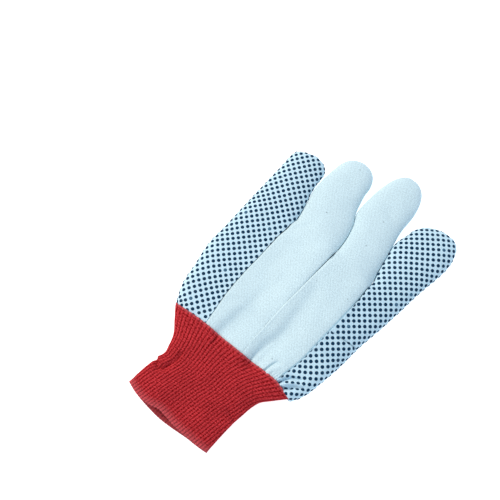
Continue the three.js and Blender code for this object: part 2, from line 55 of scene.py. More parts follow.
# The place of the pattern's plan that lies at the frame's origin: the middle of the
# glove's box, and below the cloth by the height of the dots that it lies on
PLAN_MIDDLE = np.array([-0.7, 61.1, -0.3])

# The pattern, in millimetres: x of the hand's two sides and of the three seams
LANES = ("little", "ring", "middle", "index")
LINES = ("little_side", "ring_seam", "back_seam", "index_seam", "index_side")
HAND_Y = (-4, 10, 28, 46, 65, 85, 105)
HAND_X = {
    "little_side": (-52.8, -60.4, -64.6, -68.7, -69.4, -70.6, -71.6),
    "ring_seam": (-25.8, -28.6, -31.9, -33.4, -33.9, -34.6, -34.1),
    "back_seam": (8.0, 6.2, 5.2, 4.8, 5.2, 5.2, 5.2),
    "index_seam": (37.6, 38.6, 41.0, 41.4, 41.6, 41.4, 40.2),
    "index_side": (49.8, 58.1, 61.5, 63.3, 64.0, 66.2, 67.9),
}

# Both sides of each finger above its crotch, and the round end of its tip, whose two
# sides differ and pass into each other over the tip's middle share
Tip = namedtuple("Tip", "start end x left_bluntness right_bluntness slant")
FINGER_Y = {
    "little": (118, 131, 142),
    "ring": (118, 131, 140, 150, 159),
    "middle": (118, 131, 140, 150, 159),
    "index": (118, 131, 140, 150, 157),
}
FINGER_LEFT = {
    "little": (-72.2, -72.8, -73.8),
    "ring": (-37.1, -40.8, -41.8, -42.0, -41.5),
    "middle": (3.5, -0.2, -4.6, -5.8, -5.6),
    "index": (36.8, 34.0, 32.2, 33.4, 36.2),
}
FINGER_RIGHT = {
    "little": (-37.7, -41.9, -44.3),
    "ring": (3.5, -0.2, -5.5, -8.8, -11.1),
    "middle": (36.8, 34.0, 31.6, 29.3, 28.1),
    "index": (68.6, 69.8, 71.0, 72.0, 71.6),
}
TIPS = {
    "little": Tip(138, 153.9, -58.0, 6.0, 2.8, 6.0),
    "ring": Tip(157, 175.6, -26.0, 2.1, 2.1, 0),
    "middle": Tip(157, 191.6, 8.8, 2.3, 2.3, 0),
    "index": Tip(153, 175.2, 59.0, 2.1, 2.1, 0),
}
TIP_BLEND = 0.6

# y of the rows across the hand, where they meet each line
CUFF_SEAM_Y = (-4.3, -0.5, 2.0, 4.9, 2.4)
THUMB_SEAM_Y = {"back": (57, 57, 57, 57.5, 61.8), "palm": (57, 50, 47, 50, 61.8)}
CROTCH_Y = (98, 103, 107, 105, 101)

# Heights of each lane's crown and each seam's valley. Level 0 is the cuff seam, 1 the
# thumb's seam, 2 the crotches, 3 where the tips begin and 4 their ends.
CROWN_LEVEL = (0, 0.5, 1, 1.5, 2, 3)
CROWN_Z = (
    (12.2, 11.6, 11.6, 11.8, 12.0, 11.4),
    (12.7, 12.0, 12.0, 12.4, 12.6, 12.0),
    (12.7, 12.0, 12.0, 12.3, 12.8, 12.4),
    (12.2, 12.2, 12.4, 12.6, 12.8, 12.2),
)
VALLEY_LEVEL = (0, 0.5, 1, 1.5, 1.9, 2, 3)
VALLEY_Z = (
    (12.3, 11.4, 11.4, 11.2, 10.4, 7.8, 7.8),
    (12.7, 12.0, 11.9, 12.0, 11.0, 7.8, 7.8),
    (12.3, 12.1, 12.2, 12.1, 10.8, 7.8, 7.8),
)
SIDE_TOP = 7.8
SIDE_BOTTOM = 4.2
VALLEY_FLOOR_FROM = 1.5

# A lane's section: the dome of its back and the flat of its palm
DOME_POWER = 2.4
DOME_ROOT = 0.6
FLAT_SHARE = 0.5
FINGER_GAP = 0.5

# The dotted front of the two middle fingers: its share of the half width, the level
# where it ends, and the level up to which the seam's gap runs beside it
FRONT_EDGE = 0.6
FRONT_ENDS_AT = 3.7
FRONT_GAP_LEVEL = 3.71

# The thumb under the palm, and how far it lifts the cloth above it
THUMB = {
    "root_x": 22.6, "tip_x": 16.5, "fold": 47, "round_from": 82, "tip": 99,
    "half_width": 18.4, "height": 8.5, "side_top": 5.6, "side_bottom": 2.9,
    "flush_to": 0.72, "fold_drop": 0.5, "hole_from": 0.42, "ease": 0.3,
    "last_ring": 0.98,
}
LIFT = {
    "palm": 9.2, "palm_reach": 10, "back": 4.8, "back_reach": 27, "inside": 4,
    "before_fold": 20, "after_fold": 1, "before_tip": 2, "after_tip": 3,
}

# A fold: its path, half width and depth (a ridge's is negative), the share of the depth
# that is left at the path's end, and how many times wider it is right of the path
Fold = namedtuple("Fold", "path width depth end_share spread", defaults=(1, 1))

# Wide valleys in the back
WIDE_FOLDS = (
    Fold(((16.6, 1), (16.8, 18), (18.6, 27), (19.2, 38), (17, 50), (15.5, 64), (13, 80)),
         5.2, 4.1, 0.08, 1.6),
    Fold(((-13.6, 1), (-13.2, 16), (-12.8, 28), (-12.2, 41), (-11.6, 52)), 4.8, 3, 0.15, 2.4),
    Fold(((27, 3), (29.4, 16)), 3.6, 0.5),
    Fold(((46, 6), (51, 15)), 4, 0.9),
)

# Pleats that the cuff's seam draws in: narrow lines with a bulge beside them, and the
# back seam's edge, which falls softly to the seam and stands up steeply right of it
PLEATS = (
    Fold(((15.2, 1.6), (14.5, 8), (14.4, 15)), 0.7, 1.3, 0.1),
    Fold(((18.2, 1.6), (17.9, 11), (18.6, 24)), 1.6, -0.7, 0.3),
    Fold(((5.9, 15), (5.2, 28), (4.8, 46), (5.2, 65), (5.2, 102)), 3.4, 0.12, 4.5, 0.5),
    Fold(((6.6, 12), (6.3, 28), (5.9, 46), (6.3, 65), (6.3, 85)), 0.8, -0.4, 0.6),
    Fold(((26.6, 2.6), (27.8, 10.8), (29.2, 15.4), (32, 16.8)), 0.7, 2.4, 0.3),
    Fold(((29.4, 3.4), (30.6, 9.5), (33, 13.5)), 1.7, -0.8, 0.6),
    Fold(((31.7, 3.4), (32.8, 9)), 0.5, 0.5, 0.4),
    Fold(((33.8, 4), (35, 10)), 0.5, 0.5, 0.4),
    Fold(((35.8, 4.6), (37.2, 12)), 0.5, 0.5, 0.4),
    Fold(((39.8, 4.6), (42, 10.6), (44.5, 14.6), (50.3, 18.1)), 1.1, 3.8, 0.3),
    Fold(((41.4, 4.4), (44.6, 9.2), (48.3, 13.2), (53.5, 16)), 1.2, -1.9, 0.6),
    Fold(((42.6, 3.6), (47, 6.9), (50, 10.8), (55.5, 14.5)), 1.2, 3.4, 0.3),
)

# Finer creases and soft ridges (negative depth) in the cloth of the back
CREASES = (
    Fold(((-30, 20.7), (-20.7, 29.7)), 3, 0.35),
    Fold(((-58.8, 112.5), (-34.5, 106.5)), 2.2, 0.5),
    Fold(((-66, 104), (-44, 98)), 2.4, 0.35),
    Fold(((-33.5, 92), (-24, 106)), 2.4, 0.55),
    Fold(((-34.5, 84), (-22, 92)), 3.2, -0.3),
    Fold(((-62, 30), (-48, 26)), 3.4, 0.35),
    Fold(((-64, 62), (-44, 70)), 4.2, 0.3),
    Fold(((45, 40), (60, 46)), 3.6, 0.35),
    Fold(((44, 82), (62, 76)), 4, 0.35),
    Fold(((-18, 150), (-34, 158)), 4, 0.25),
    Fold(((24, 150), (6, 158)), 4, 0.25),
)

# Both sides of the cuff at shares of its length, and its slanting open end
CUFF_SHARE = (0, 0.14, 0.23, 0.34, 0.47, 0.6, 0.8, 1)
CUFF_LEFT = (-53.0, -45.3, -40.0, -35.8, -33.2, -34.4, -35.7, -36.0)
CUFF_RIGHT = (52.0, 44.6, 40.2, 37.9, 37.1, 36.3, 36.4, 36.6)
CUFF_END_UPPER = (
    (-0.97, -0.76, -0.54, -0.39, -0.21, 0, 0.22, 0.55, 0.8, 1),
    (-66.4, -68.1, -68.2, -67.0, -64.9, -64.9, -65.4, -64.7, -64.0, -62.6),
)
CUFF_END_LOWER = (
    (-1, -0.65, -0.38, -0.13, 0.15, 0.53, 0.81, 1),
    (-66.6, -68.9, -69.4, -69.3, -68.0, -65.4, -64.0, -62.9),
)
CUFF_CROWN = 12.9
CUFF_DOME_POWER = 4
CUFF_END_DROP = 2.2
CUFF_OVERLAP = 0.6
CUFF_FOOT = 0.25
CUFF_CREASES = (
    Fold(((-35.2, -41.5), (-28.5, -46.1), (-24, -42.6), (-24, -37.7), (-22.9, -31.8),
          (-23.4, -27.4)), 1.6, 2.9, 0.5),
    Fold(((-34.4, -40), (-29.5, -40.6), (-26.8, -38.4)), 1.6, -1, 0.7),
    Fold(((-37, -31), (-27, -27.5)), 2.6, -0.5),
    Fold(((-33, -50), (-22, -47)), 2.6, -0.5),
    Fold(((36.2, -34.3), (27, -31.5)), 1.4, 1.6, 0.4),
    Fold(((45, -12), (33, -22)), 3.2, 0.7),
    Fold(((-48, -12), (-40, -26)), 2.6, 0.7),
    Fold(((-12, -62), (10, -48)), 6, 0.4),
)
CUFF_TWIST = 9.0
RIB_COUNT = 66
RIB_SAMPLES = 6
RIB_PITCH = 2.5
STITCH_LENGTH = 1.6

# The dots' rows run along the seam on one side of a lane, up to this height, and above
# it they lean away from the plan's y by x at heights y
GRAIN_FREE_FROM = 46
GRAIN_SIDE = {0: 1, 3: -1}
LEAN_STEP = 3
GRAIN = {
    0: ((0, 46, 82, 97, 112, 127, 154), (0.35, -0.37, -3.6, -5.7, -8.7, -11.7, -16.6)),
    3: ((0, 20, 46, 105, 120, 135, 150, 175), (-0.4, -0.4, -0.7, -0.7, -0.4, 0.6, 2.3, 4.1)),
}

# How finely the cloth is drawn across each lane's back, its palm and the round edges. No
# other step lies this near a front's edge.
BACK_STEPS = (40, 46, 96, 72)
PALM_STEPS = 26
SIDE_STEPS = (0.2, 0.4, 0.6, 0.8)
LEAST_STEP = 0.02

# The share of a lane's half width beside its edges that only the seam's gap divides, and
# the half width below which that gap narrows with the lane, so that it stays in there
EDGE_FREE = 0.012
NARROWEST_GAP_AT = 11

# How finely the cloth is drawn along the hand and the fingers, from level to level, and
# along and round the thumb and the cuff
HAND_STEPS = ((0, 0.42, 38), (0.42, 1, 38), (1, 1.006, 1), (1.006, 2, 42))
FINGER_STEPS = (
    (2, 2.014, 1), (2.014, 3, 44), (3, 3.7, 20), (3.7, 3.71, 1), (3.71, 3.97, 6),
)
THUMB_RINGS = 38
THUMB_END_RINGS = 12
CUFF_ROWS = 96
OUTLINE_STEPS = 400

# Points nearer than this are joined, and nothing is divided by a length below TINY
WELD = 1e-4
TINY = 1e-9

# The back's end of the thumb's seam: the x over which it opens out of the cloth's fold,
# the share of its gap that is left before that, and the x and y that the fold hides
THUMB_SEAM_FROM = (47.5, 51.0)
SHUT_SHARE = 0.1
HIDDEN_SEAM = ((42.4, 51.0), (56.5, 60.5))


# The pattern's shape

def lerp(a, b, share):
    return a + (b - a) * share


def unit(vectors):
    lengths = np.linalg.norm(vectors, axis=-1, keepdims=True)
    return vectors / np.maximum(lengths, TINY)


def smoothstep(x, low, high):
    t = np.clip((np.asarray(x, float) - low) / (high - low), 0, 1)
    return t * t * (3 - 2 * t)


def curve(at, values):
    """A smooth curve through a table, straight beyond its ends."""
    at = np.array(at, float)
    values = np.array(values, float)
    before = np.maximum(np.arange(len(at)) - 1, 0)
    after = np.minimum(np.arange(len(at)) + 1, len(at) - 1)
    slopes = (values[after] - values[before]) / (at[after] - at[before])

    def value(x):
        x = np.asarray(x, float)
        i = np.clip(np.searchsorted(at, x, side="right") - 1, 0, len(at) - 2)
        width = at[i + 1] - at[i]
        t = (x - at[i]) / width
        s = 1 - t
        inside = s * s * (1 + 2 * t) * values[i] + t * t * (1 + 2 * s) * values[i + 1]
        inside += width * s * t * (s * slopes[i] - t * slopes[i + 1])
        below = values[0] + slopes[0] * (x - at[0])
        above = values[-1] + slopes[-1] * (x - at[-1])
        return np.where(x <= at[0], below, np.where(x >= at[-1], above, inside))

    return value


def finger_side(lane, line, table):
    """The line that carries on from a hand line up one side of a finger."""
    finger = LANES[lane]
    return curve(HAND_Y + FINGER_Y[finger], HAND_X[line] + table[finger])


HAND_LINE = [curve(HAND_Y, HAND_X[line]) for line in LINES]
LEFT_LINE = [finger_side(i, LINES[i], FINGER_LEFT) for i in range(4)]
RIGHT_LINE = [finger_side(i, LINES[i + 1], FINGER_RIGHT) for i in range(4)]
CROWN = [curve(CROWN_LEVEL, heights) for heights in CROWN_Z]
VALLEY = [curve(VALLEY_LEVEL, heights) for heights in VALLEY_Z]
SEAM_X = [float(HAND_LINE[i](CUFF_SEAM_Y[i])) for i in range(5)]
CUFF_SEAM = curve(SEAM_X, CUFF_SEAM_Y)


def dome_profile(u):
    return np.maximum(0, 1 - np.abs(u) ** DOME_POWER) ** DOME_ROOT


def flat_profile(u):
    t = np.maximum(0, (np.abs(u) - FLAT_SHARE) / (1 - FLAT_SHARE))
    return np.sqrt(np.maximum(0, 1 - t * t))


def thumb_centre(y):
    share = (y - THUMB["fold"]) / (THUMB["tip"] - THUMB["fold"])
    return lerp(THUMB["root_x"], THUMB["tip_x"], share)


def thumb_share(x, y, reach):
    """How far the thumb below lifts the cloth at a place, from 0 to 1."""
    across = np.abs(x - thumb_centre(y)) - THUMB["half_width"]
    over_width = 1 - smoothstep(across, -LIFT["inside"], reach)
    root = THUMB["fold"] - LIFT["before_fold"], THUMB["fold"] + LIFT["after_fold"]
    tip = THUMB["tip"] - LIFT["before_tip"], THUMB["tip"] + LIFT["after_tip"] + reach
    return over_width * smoothstep(y, *root) * (1 - smoothstep(y, *tip))


def nearest_on_path(path, x, y):
    """Distance to a path of straight runs, the share of the path before the nearest place,
    and whether the point lies right of it."""
    lengths = [math.dist(start, end) for start, end in zip(path, path[1:])]
    nearest = np.full_like(x, np.inf)
    share = np.zeros_like(x)
    is_right = np.zeros(x.shape, bool)
    passed = 0
    for start, end, length in zip(path, path[1:], lengths):
        dx, dy = end[0] - start[0], end[1] - start[1]
        along = ((x - start[0]) * dx + (y - start[1]) * dy) / length ** 2
        along = np.clip(along, 0, 1)
        away = np.hypot(x - start[0] - along * dx, y - start[1] - along * dy)
        nearer = away < nearest
        share = np.where(nearer, (passed + along * length) / sum(lengths), share)
        beside = dx * (y - start[1]) - dy * (x - start[0])
        is_right = np.where(nearer, beside < 0, is_right)
        nearest = np.minimum(away, nearest)
        passed += length
    return nearest, share, is_right


def hump(away, width):
    """A round hump that is 1 high in its middle."""
    return np.exp(-(away / width) ** 2)


def fold_depth(folds, x, y):
    depth = np.zeros_like(x)
    for fold in folds:
        away, share, is_right = nearest_on_path(fold.path, x, y)
        width = np.where(is_right, fold.width * fold.spread, fold.width)
        depth += fold.depth * lerp(1, fold.end_share, share) * hump(away, width)
    return depth


def row_y(line, side, level):
    seam = THUMB_SEAM_Y[side][line]
    below = lerp(CUFF_SEAM_Y[line], seam, level)
    return np.where(level <= 1, below, lerp(seam, CROTCH_Y[line], level - 1))


def hand_plan(lane, side, u, level):
    """x and y of a point of the hand, below the crotches."""
    share = (u + 1) / 2
    left, right = row_y(lane, side, level), row_y(lane + 1, side, level)
    x = lerp(HAND_LINE[lane](left), HAND_LINE[lane + 1](right), share)
    y = lerp(left, right, share)
    seam_x = lerp(SEAM_X[lane], SEAM_X[lane + 1], share)
    straight = lerp(CUFF_SEAM_Y[lane], CUFF_SEAM_Y[lane + 1], share)
    return x, y + (CUFF_SEAM(seam_x) - straight) * np.maximum(0, 1 - level)


def finger_plan(lane, u, level):
    """x and y of a point of a finger, and how far its tip has narrowed there."""
    tip = TIPS[LANES[lane]]
    share = (u + 1) / 2
    along = np.clip(level - 2, 0, 1)
    left = lerp(CROTCH_Y[lane], tip.start, along)
    right = lerp(CROTCH_Y[lane + 1], tip.start, along)
    gap = FINGER_GAP / 2
    left_x = LEFT_LINE[lane](left) + (gap if lane > 0 else 0)
    right_x = RIGHT_LINE[lane](right) - (gap if lane < 3 else 0)
    x = lerp(left_x, right_x, share)
    y = lerp(left, right, share)
    turn = np.maximum(0, level - 3) * math.pi / 2
    turned = smoothstep(u, -TIP_BLEND, TIP_BLEND)
    bluntness = lerp(tip.left_bluntness, tip.right_bluntness, turned)
    narrowing = np.maximum(0, np.cos(turn)) ** (2 / bluntness)
    reach = np.sin(turn) ** (2 / bluntness)
    in_tip = level > 3
    x = np.where(in_tip, lerp(tip.x, x, narrowing), x)
    leftward = np.maximum(0, tip.x - x) / (tip.x - left_x)
    y = np.where(in_tip, lerp(tip.start, tip.end, reach) - tip.slant * leftward * reach, y)
    return x, y, np.where(in_tip, narrowing, 1)


def edge_heights(line, level):
    """The heights of the back and of the palm where they meet at a line."""
    level = np.asarray(level, float)
    if line in (0, 4):
        return np.full_like(level, SIDE_TOP), np.full_like(level, SIDE_BOTTOM)
    top = np.where(level >= 2, SIDE_TOP, VALLEY[line - 1](level))
    return top, SIDE_BOTTOM * smoothstep(level, VALLEY_FLOOR_FROM, 2)


def glove_points(lane, side, u, levels):
    """Points up one column of a lane, one for each level."""
    u = u * np.ones_like(levels)
    hand_x, hand_y = hand_plan(lane, side, u, np.minimum(levels, 2))
    finger_x, finger_y, narrowing = finger_plan(lane, u, np.maximum(levels, 2))
    on_hand = levels <= 2
    x = np.where(on_hand, hand_x, finger_x)
    y = np.where(on_hand, hand_y, finger_y)
    narrowing = np.where(on_hand, 1, narrowing)
    share = (u + 1) / 2
    left, right = edge_heights(lane, levels), edge_heights(lane + 1, levels)
    if side == "back":
        edge = lerp(left[0], right[0], share)
        z = edge + (CROWN[lane](np.minimum(levels, 3)) - edge) * dome_profile(u)
        z += LIFT["back"] * thumb_share(x, y, LIFT["back_reach"])
        z -= fold_depth(WIDE_FOLDS, x, y)
    else:
        edge = lerp(left[1], right[1], share) * (1 - flat_profile(u))
        z = lerp(edge, LIFT["palm"], thumb_share(x, y, LIFT["palm_reach"]))
    z = lerp((SIDE_TOP + SIDE_BOTTOM) / 2, z, narrowing)
    return np.stack([x, y, z], axis=-1)


# The cloth, drawn as cells between columns round each lane and rows along it

# A column of points: its side of the lane, its place u across from -1 to 1, how many
# seam gaps it stands beside that, and how far it is down from the back on a round edge
Column = namedtuple("Column", "side u gap rise", defaults=(0, 0))
WHITE_PIECES = {1: "ring_back_strip", 2: "middle_back_strip"}


def spans(*parts):
    """Even steps over each (start, end, count), joined into one list of levels."""
    steps = [np.linspace(start, end, count + 1)[1:] for start, end, count in parts]
    return np.concatenate([[parts[0][0]], *steps])


LEVELS = spans(*HAND_STEPS, *FINGER_STEPS)
LAST_HAND_ROW = int(np.argmin(np.abs(LEVELS - 2)))


def across_steps(count):
    """Places across a lane, closer together beside its edges."""
    steps = -np.cos(np.pi * np.arange(2, count - 1) / count)
    steps = steps[np.abs(steps) < 1 - EDGE_FREE]
    away = np.abs(np.abs(steps) - FRONT_EDGE)
    return sorted([*steps[away > LEAST_STEP], -FRONT_EDGE, FRONT_EDGE])


def lane_columns(lane):
    """The columns round one lane: over the back, then back under the palm."""
    columns = [Column("back", -1)]
    if lane > 0:
        columns.append(Column("back", -1, 1))
    columns += [Column("back", u) for u in [*across_steps(BACK_STEPS[lane]), 1]]
    columns += [Column("right", 1, rise=rise) for rise in SIDE_STEPS]
    columns.append(Column("palm", 1))
    for u in reversed(across_steps(PALM_STEPS)):
        if lane in WHITE_PIECES and u == FRONT_EDGE:
            columns.append(Column("palm", u, 1))
        columns.append(Column("palm", u))
        if lane in WHITE_PIECES and u == -FRONT_EDGE:
            columns.append(Column("palm", u, -1))
    if lane == 2:
        columns.append(Column("palm", -1, 1))
    columns.append(Column("palm", -1))
    columns += [Column("left", -1, rise=1 - rise) for rise in SIDE_STEPS]
    return columns


def column_points(lane, column, seam_gap):
    if column.rise:
        top = glove_points(lane, "back", column.u, LEVELS)
        bottom = glove_points(lane, "palm", column.u, LEVELS)
        return lerp(top, bottom, column.rise)
    left = glove_points(lane, column.side, -1, LEVELS)
    right = glove_points(lane, column.side, 1, LEVELS)
    half_width = np.linalg.norm(right - left, axis=-1) / 2
    u = column.u + column.gap * seam_gap / np.maximum(half_width, NARROWEST_GAP_AT)
    return glove_points(lane, column.side, u, LEVELS)


def is_side_cell(start, end):
    return start.rise > 0 or end.rise > 0


def is_outer_edge(lane, column):
    """Is a column on a side of the hand, with no other lane beside it?"""
    return (lane == 0 and column.u < 0) or (lane == 3 and column.u > 0)


def piece_of(lane, start, end, row):
    """The sewn piece that a cell belongs to, or None in the gap of a seam."""
    level = LEVELS[row]
    white = WHITE_PIECES.get(lane)
    beside_seam = lane > 0 and start.u == -1 and end.u == -1
    on_back = start.side == "back" and end.side == "back"
    if row == LAST_HAND_ROW and beside_seam and (on_back or is_side_cell(start, end)):
        return None
    if level >= 2:
        return front_or_back(white, start, end, row) if white else "palm_panel"
    if start.side == "back" and start.u == -1 and end.gap == 1:
        return None
    if start.side == "back" and white:
        return white
    over_thumb = lane == 3 or (lane == 2 and start.side == "palm")
    if not over_thumb or level > 1:
        return "palm_panel"
    in_palm_seam = lane == 2 and start.u == -1 and start.gap == 1
    return None if level == 1 or in_palm_seam else "thumb_panel"


def front_or_back(white, start, end, row):
    """On the ring and middle fingers the dotted front lies between the white sides."""
    level = LEVELS[row]
    edge = max(abs(start.u), abs(end.u))
    in_front = start.side == "palm" and end.side == "palm" and edge <= FRONT_EDGE
    if in_front and start.gap != end.gap:
        return white if level >= FRONT_GAP_LEVEL else None
    if in_front and level == FRONT_ENDS_AT:
        return None
    if in_front and level < FRONT_ENDS_AT:
        return "palm_panel"
    joins_palm = start.side != "back" or end.side != "back"
    return None if row == LAST_HAND_ROW and joins_palm else white


def is_thumb_hole(lane, start, level):
    in_lane = lane == 2 and start.side == "palm" and start.u > -1
    return in_lane and THUMB["hole_from"] <= level < 1


class Canvas:
    """All the canvas as one surface: points, and cells that each know their piece."""

    def __init__(self, seam_gap):
        self.points, self.bulge = [], []
        self.cells, self.pieces, self.cloth = [], [], []
        self.count = 0
        grids = [self.add_lane(lane, seam_gap) for lane in range(4)]
        self.points = [np.concatenate(self.points)]
        self.add_thumb(*grids[2])
        self.weld()

    def add_points(self, points, bulge):
        self.points.append(points.reshape(-1, 3))
        self.bulge.append(bulge.reshape(-1))
        ids = self.count + np.arange(bulge.size).reshape(bulge.shape)
        self.count += bulge.size
        return ids

    def add_cell(self, piece, corners, cloth):
        self.cells.append(corners)
        self.pieces.append(piece)
        self.cloth.append(cloth)

    def add_lane(self, lane, seam_gap):
        columns = lane_columns(lane)
        grid = np.stack([column_points(lane, c, seam_gap) for c in columns], axis=1)
        bulge = np.zeros(grid.shape[:2])
        for i, column in enumerate(columns):
            grows = 1 if is_outer_edge(lane, column) else smoothstep(LEVELS, *BULGE_FROM)
            bulge[:, i] = math.sin(math.pi * column.rise) * grows
        if lane == 3:
            close_hidden_seam(grid)
        ids = self.add_points(grid, bulge)
        cloth = cloth_coordinates(lane, columns, grid)
        for i, start in enumerate(columns):
            j = (i + 1) % len(columns)
            self.add_strip(lane, start, columns[j], ids[:, [i, j]], cloth[i])
        self.close_tip(lane, columns, ids[-1], grid[-1])
        return columns, ids

    def add_strip(self, lane, start, end, ids, cloth):
        between_lanes = is_side_cell(start, end) and not is_outer_edge(lane, start)
        for row in range(len(LEVELS) - 1):
            inside = between_lanes and LEVELS[row] < 2
            if inside or is_thumb_hole(lane, start, LEVELS[row]):
                continue
            corners = [ids[row, 0], ids[row, 1], ids[row + 1, 1], ids[row + 1, 0]]
            self.add_cell(piece_of(lane, start, end, row), corners, cloth[row])

    def close_tip(self, lane, columns, last, ring):
        pole = self.add_points(ring.mean(axis=0)[None], np.zeros(1))[0]
        for i, start in enumerate(columns):
            j = (i + 1) % len(columns)
            piece = piece_of(lane, start, columns[j], len(LEVELS) - 1)
            self.add_cell(piece, [last[i], last[j], pole, pole], np.tile(ring[i, :2], (4, 1)))

    def add_thumb(self, columns, ids):
        """Joins the thumb's tube to the hole that the middle lane's palm leaves for it."""
        across = [i for i, c in enumerate(columns) if c.side == "palm"]
        across = [i for i in reversed(across) if columns[i].u > -1 or columns[i].gap == 1]
        rows = np.flatnonzero((LEVELS >= THUMB["hole_from"] - TINY) & (LEVELS <= 1))
        low, high, inner = rows[0], rows[-1], rows[1:-1]
        on_fold = ids[high, across]
        self.points[0][on_fold, 2] -= THUMB["fold_drop"]
        rim = np.concatenate([
            ids[low, across], ids[inner, across[-1]],
            on_fold[::-1], ids[inner, across[0]][::-1],
        ])
        rings = [rim, *self.thumb_rings(rim, len(across), len(inner))]
        centre = self.places()[rings[-1]].mean(axis=0)
        pole = self.add_points(centre[None], np.zeros(1))
        rings.append(np.repeat(pole, len(rim)))
        for a, b in zip(rings, rings[1:]):
            self.add_ring_cells(a, b)

    def places(self):
        return np.concatenate(self.points)

    def thumb_rings(self, rim, across, along):
        """Rings of points up the thumb, the first of which ease away from the hole's rim."""
        hole_y = glove_points(2, "palm", 0, np.array([THUMB["hole_from"]]))[0, 1]
        even = np.linspace(-1, 1, across)
        rises = np.arange(1, along + 1) / (along + 1)
        u = np.concatenate([even, np.ones(along), even[::-1], -np.ones(along)])
        rise = np.concatenate([np.zeros(across), rises, np.ones(across), rises[::-1]])
        rim_offset = self.places()[rim] - thumb_points(u, rise, 0, 0, hole_y)
        ends = np.linspace(0, THUMB["last_ring"], THUMB_END_RINGS + 1)[1:]
        steps = [(share, 0) for share in np.linspace(0, 1, THUMB_RINGS + 1)[1:]]
        steps += [(1, end) for end in ends]
        rings = []
        for along_share, end in steps:
            blend = 1 - smoothstep(along_share, 0, THUMB["ease"])
            ring = thumb_points(u, rise, along_share, end, hole_y) + rim_offset * blend
            rings.append(self.add_points(ring, np.zeros(len(ring))))
        return rings

    def add_ring_cells(self, a, b):
        flat = self.places()[:, :2]
        for i in range(len(a)):
            j = (i + 1) % len(a)
            corners = [a[i], b[i], b[j], a[j]]
            self.add_cell("thumb_panel", corners, flat[corners])

    def weld(self):
        """Joins the points that neighbouring lanes and the thumb share."""
        keys = np.round(self.places() / WELD).astype(np.int64)
        _, first, joined = np.unique(keys, axis=0, return_index=True, return_inverse=True)
        self.points = self.places()[first]
        self.bulge = np.concatenate(self.bulge)[first]
        self.cells = joined.reshape(-1)[np.array(self.cells)]
        self.pieces = np.array([piece or "" for piece in self.pieces])
        self.cloth = np.array(self.cloth)

    def normals(self, cells):
        """A normal at each point, from those of the given cells that meet there."""
        a, b, c, d = (self.points[cells[:, i]] for i in range(4))
        faces = np.cross(c - a, d - b)
        sums = np.zeros_like(self.points)
        for i in range(4):
            np.add.at(sums, cells[:, i], faces)
        return unit(sums)


def close_hidden_seam(grid):
    """Draws the thumb's seam shut where the cloth's fold hides it."""
    below = int(np.argmin(np.abs(LEVELS - 1)))
    open_share = smoothstep(grid[below, :, :1], *THUMB_SEAM_FROM)
    shut = lerp(grid[below], grid[below + 1], SHUT_SHARE)
    grid[below + 1] = lerp(shut, grid[below + 1], open_share)


def thumb_points(u, rise, along, end, hole_y):
    """One ring of the thumb's tube: a share of its straight length and of its end."""
    low_y = lerp(hole_y, THUMB["round_from"], along)
    high_y = lerp(THUMB["fold"], THUMB["round_from"], along)
    turn = end * math.pi / 2
    y = lerp(lerp(low_y, high_y, rise), THUMB["tip"], math.sin(turn))
    narrowing = math.cos(turn)
    side_bottom = THUMB["side_bottom"] * smoothstep(along, 0, THUMB["flush_to"])
    bottom = side_bottom * (1 - flat_profile(u))
    top = lerp(THUMB["side_top"], THUMB["height"], dome_profile(u))
    middle = (THUMB["side_top"] + THUMB["side_bottom"]) / 2
    z = lerp(middle, lerp(bottom, top, rise), narrowing)
    return np.stack([thumb_centre(y) + u * THUMB["half_width"] * narrowing, y, z], axis=-1)


def on_grain(lane, unrolled, middle, edge, y):
    """Millimetres across and along the cloth's grain, for points of an unrolled back."""
    if lane not in GRAIN:
        return unrolled, y
    lean_on = curve(*GRAIN[lane])
    edge_y, edge_x = edge
    sewn = edge_y <= GRAIN_FREE_FROM

    def line(height):
        return np.interp(height, edge_y[sewn], edge_x[sewn]) + lean_on(height)

    lean = (line(y + LEAN_STEP) - line(y - LEAN_STEP)) / (2 * LEAN_STEP)
    return unrolled - line(y), y + lean * (unrolled - middle)


def cloth_coordinates(lane, columns, grid):
    """For each strip of cells, the cloth's own millimetres across and along at its corners.

    The back and the edges are unrolled from the lane's middle, and on the palm they are
    the plan's.
    """
    sides = [c.side for c in columns]
    crown = int(np.argmin([abs(c.u) if c.side == "back" else math.inf for c in columns]))
    last_palm = max(i for i, side in enumerate(sides) if side == "palm")
    closed = np.concatenate([grid, grid[:, :1]], axis=1)
    steps = np.linalg.norm(np.diff(closed, axis=1), axis=2)
    travelled = np.concatenate([np.zeros((len(LEVELS), 1)), np.cumsum(steps, axis=1)], axis=1)
    middle = grid[:, crown, :1]
    sewn_side = GRAIN_SIDE.get(lane, 1)
    seam = max(i for i, c in enumerate(columns) if c.side == "back" and c.u == sewn_side)
    seam_x = middle[:, 0] + travelled[:, seam] - travelled[:, crown]
    edge = grid[:, seam, 1], seam_x
    strips = []
    for i in range(len(columns)):
        ends = [i, i + 1]
        x, y = closed[:, ends, 0], closed[:, ends, 1]
        if not (sides[i] == "palm" and sides[(i + 1) % len(columns)] == "palm"):
            turn = travelled[:, -1:] if i >= last_palm else 0
            unrolled = middle + travelled[:, ends] - travelled[:, crown:crown + 1] - turn
            x, y = on_grain(lane, unrolled, middle, edge, y)
        corners = np.stack([x, y], axis=-1)
        strips.append(np.stack([
            corners[:-1, 0], corners[:-1, 1], corners[1:, 1], corners[1:, 0],
        ], axis=1))
    return strips


# Relief that the seams, gathers and folds press into the cloth

# A seam's section: a narrow groove with a soft roll beside it
Seam = namedtuple("Seam", "depth width roll roll_away roll_width")
HAND_SEAM = Seam(0.7, 0.5, 0.12, 1.9, 1.2)
CUFF_DIP = Seam(0.8, 0.8, 0.25, 2.6, 1.4)
THUMB_SEAM = Seam(1.1, 0.7, 0.3, 2.0, 1.2)

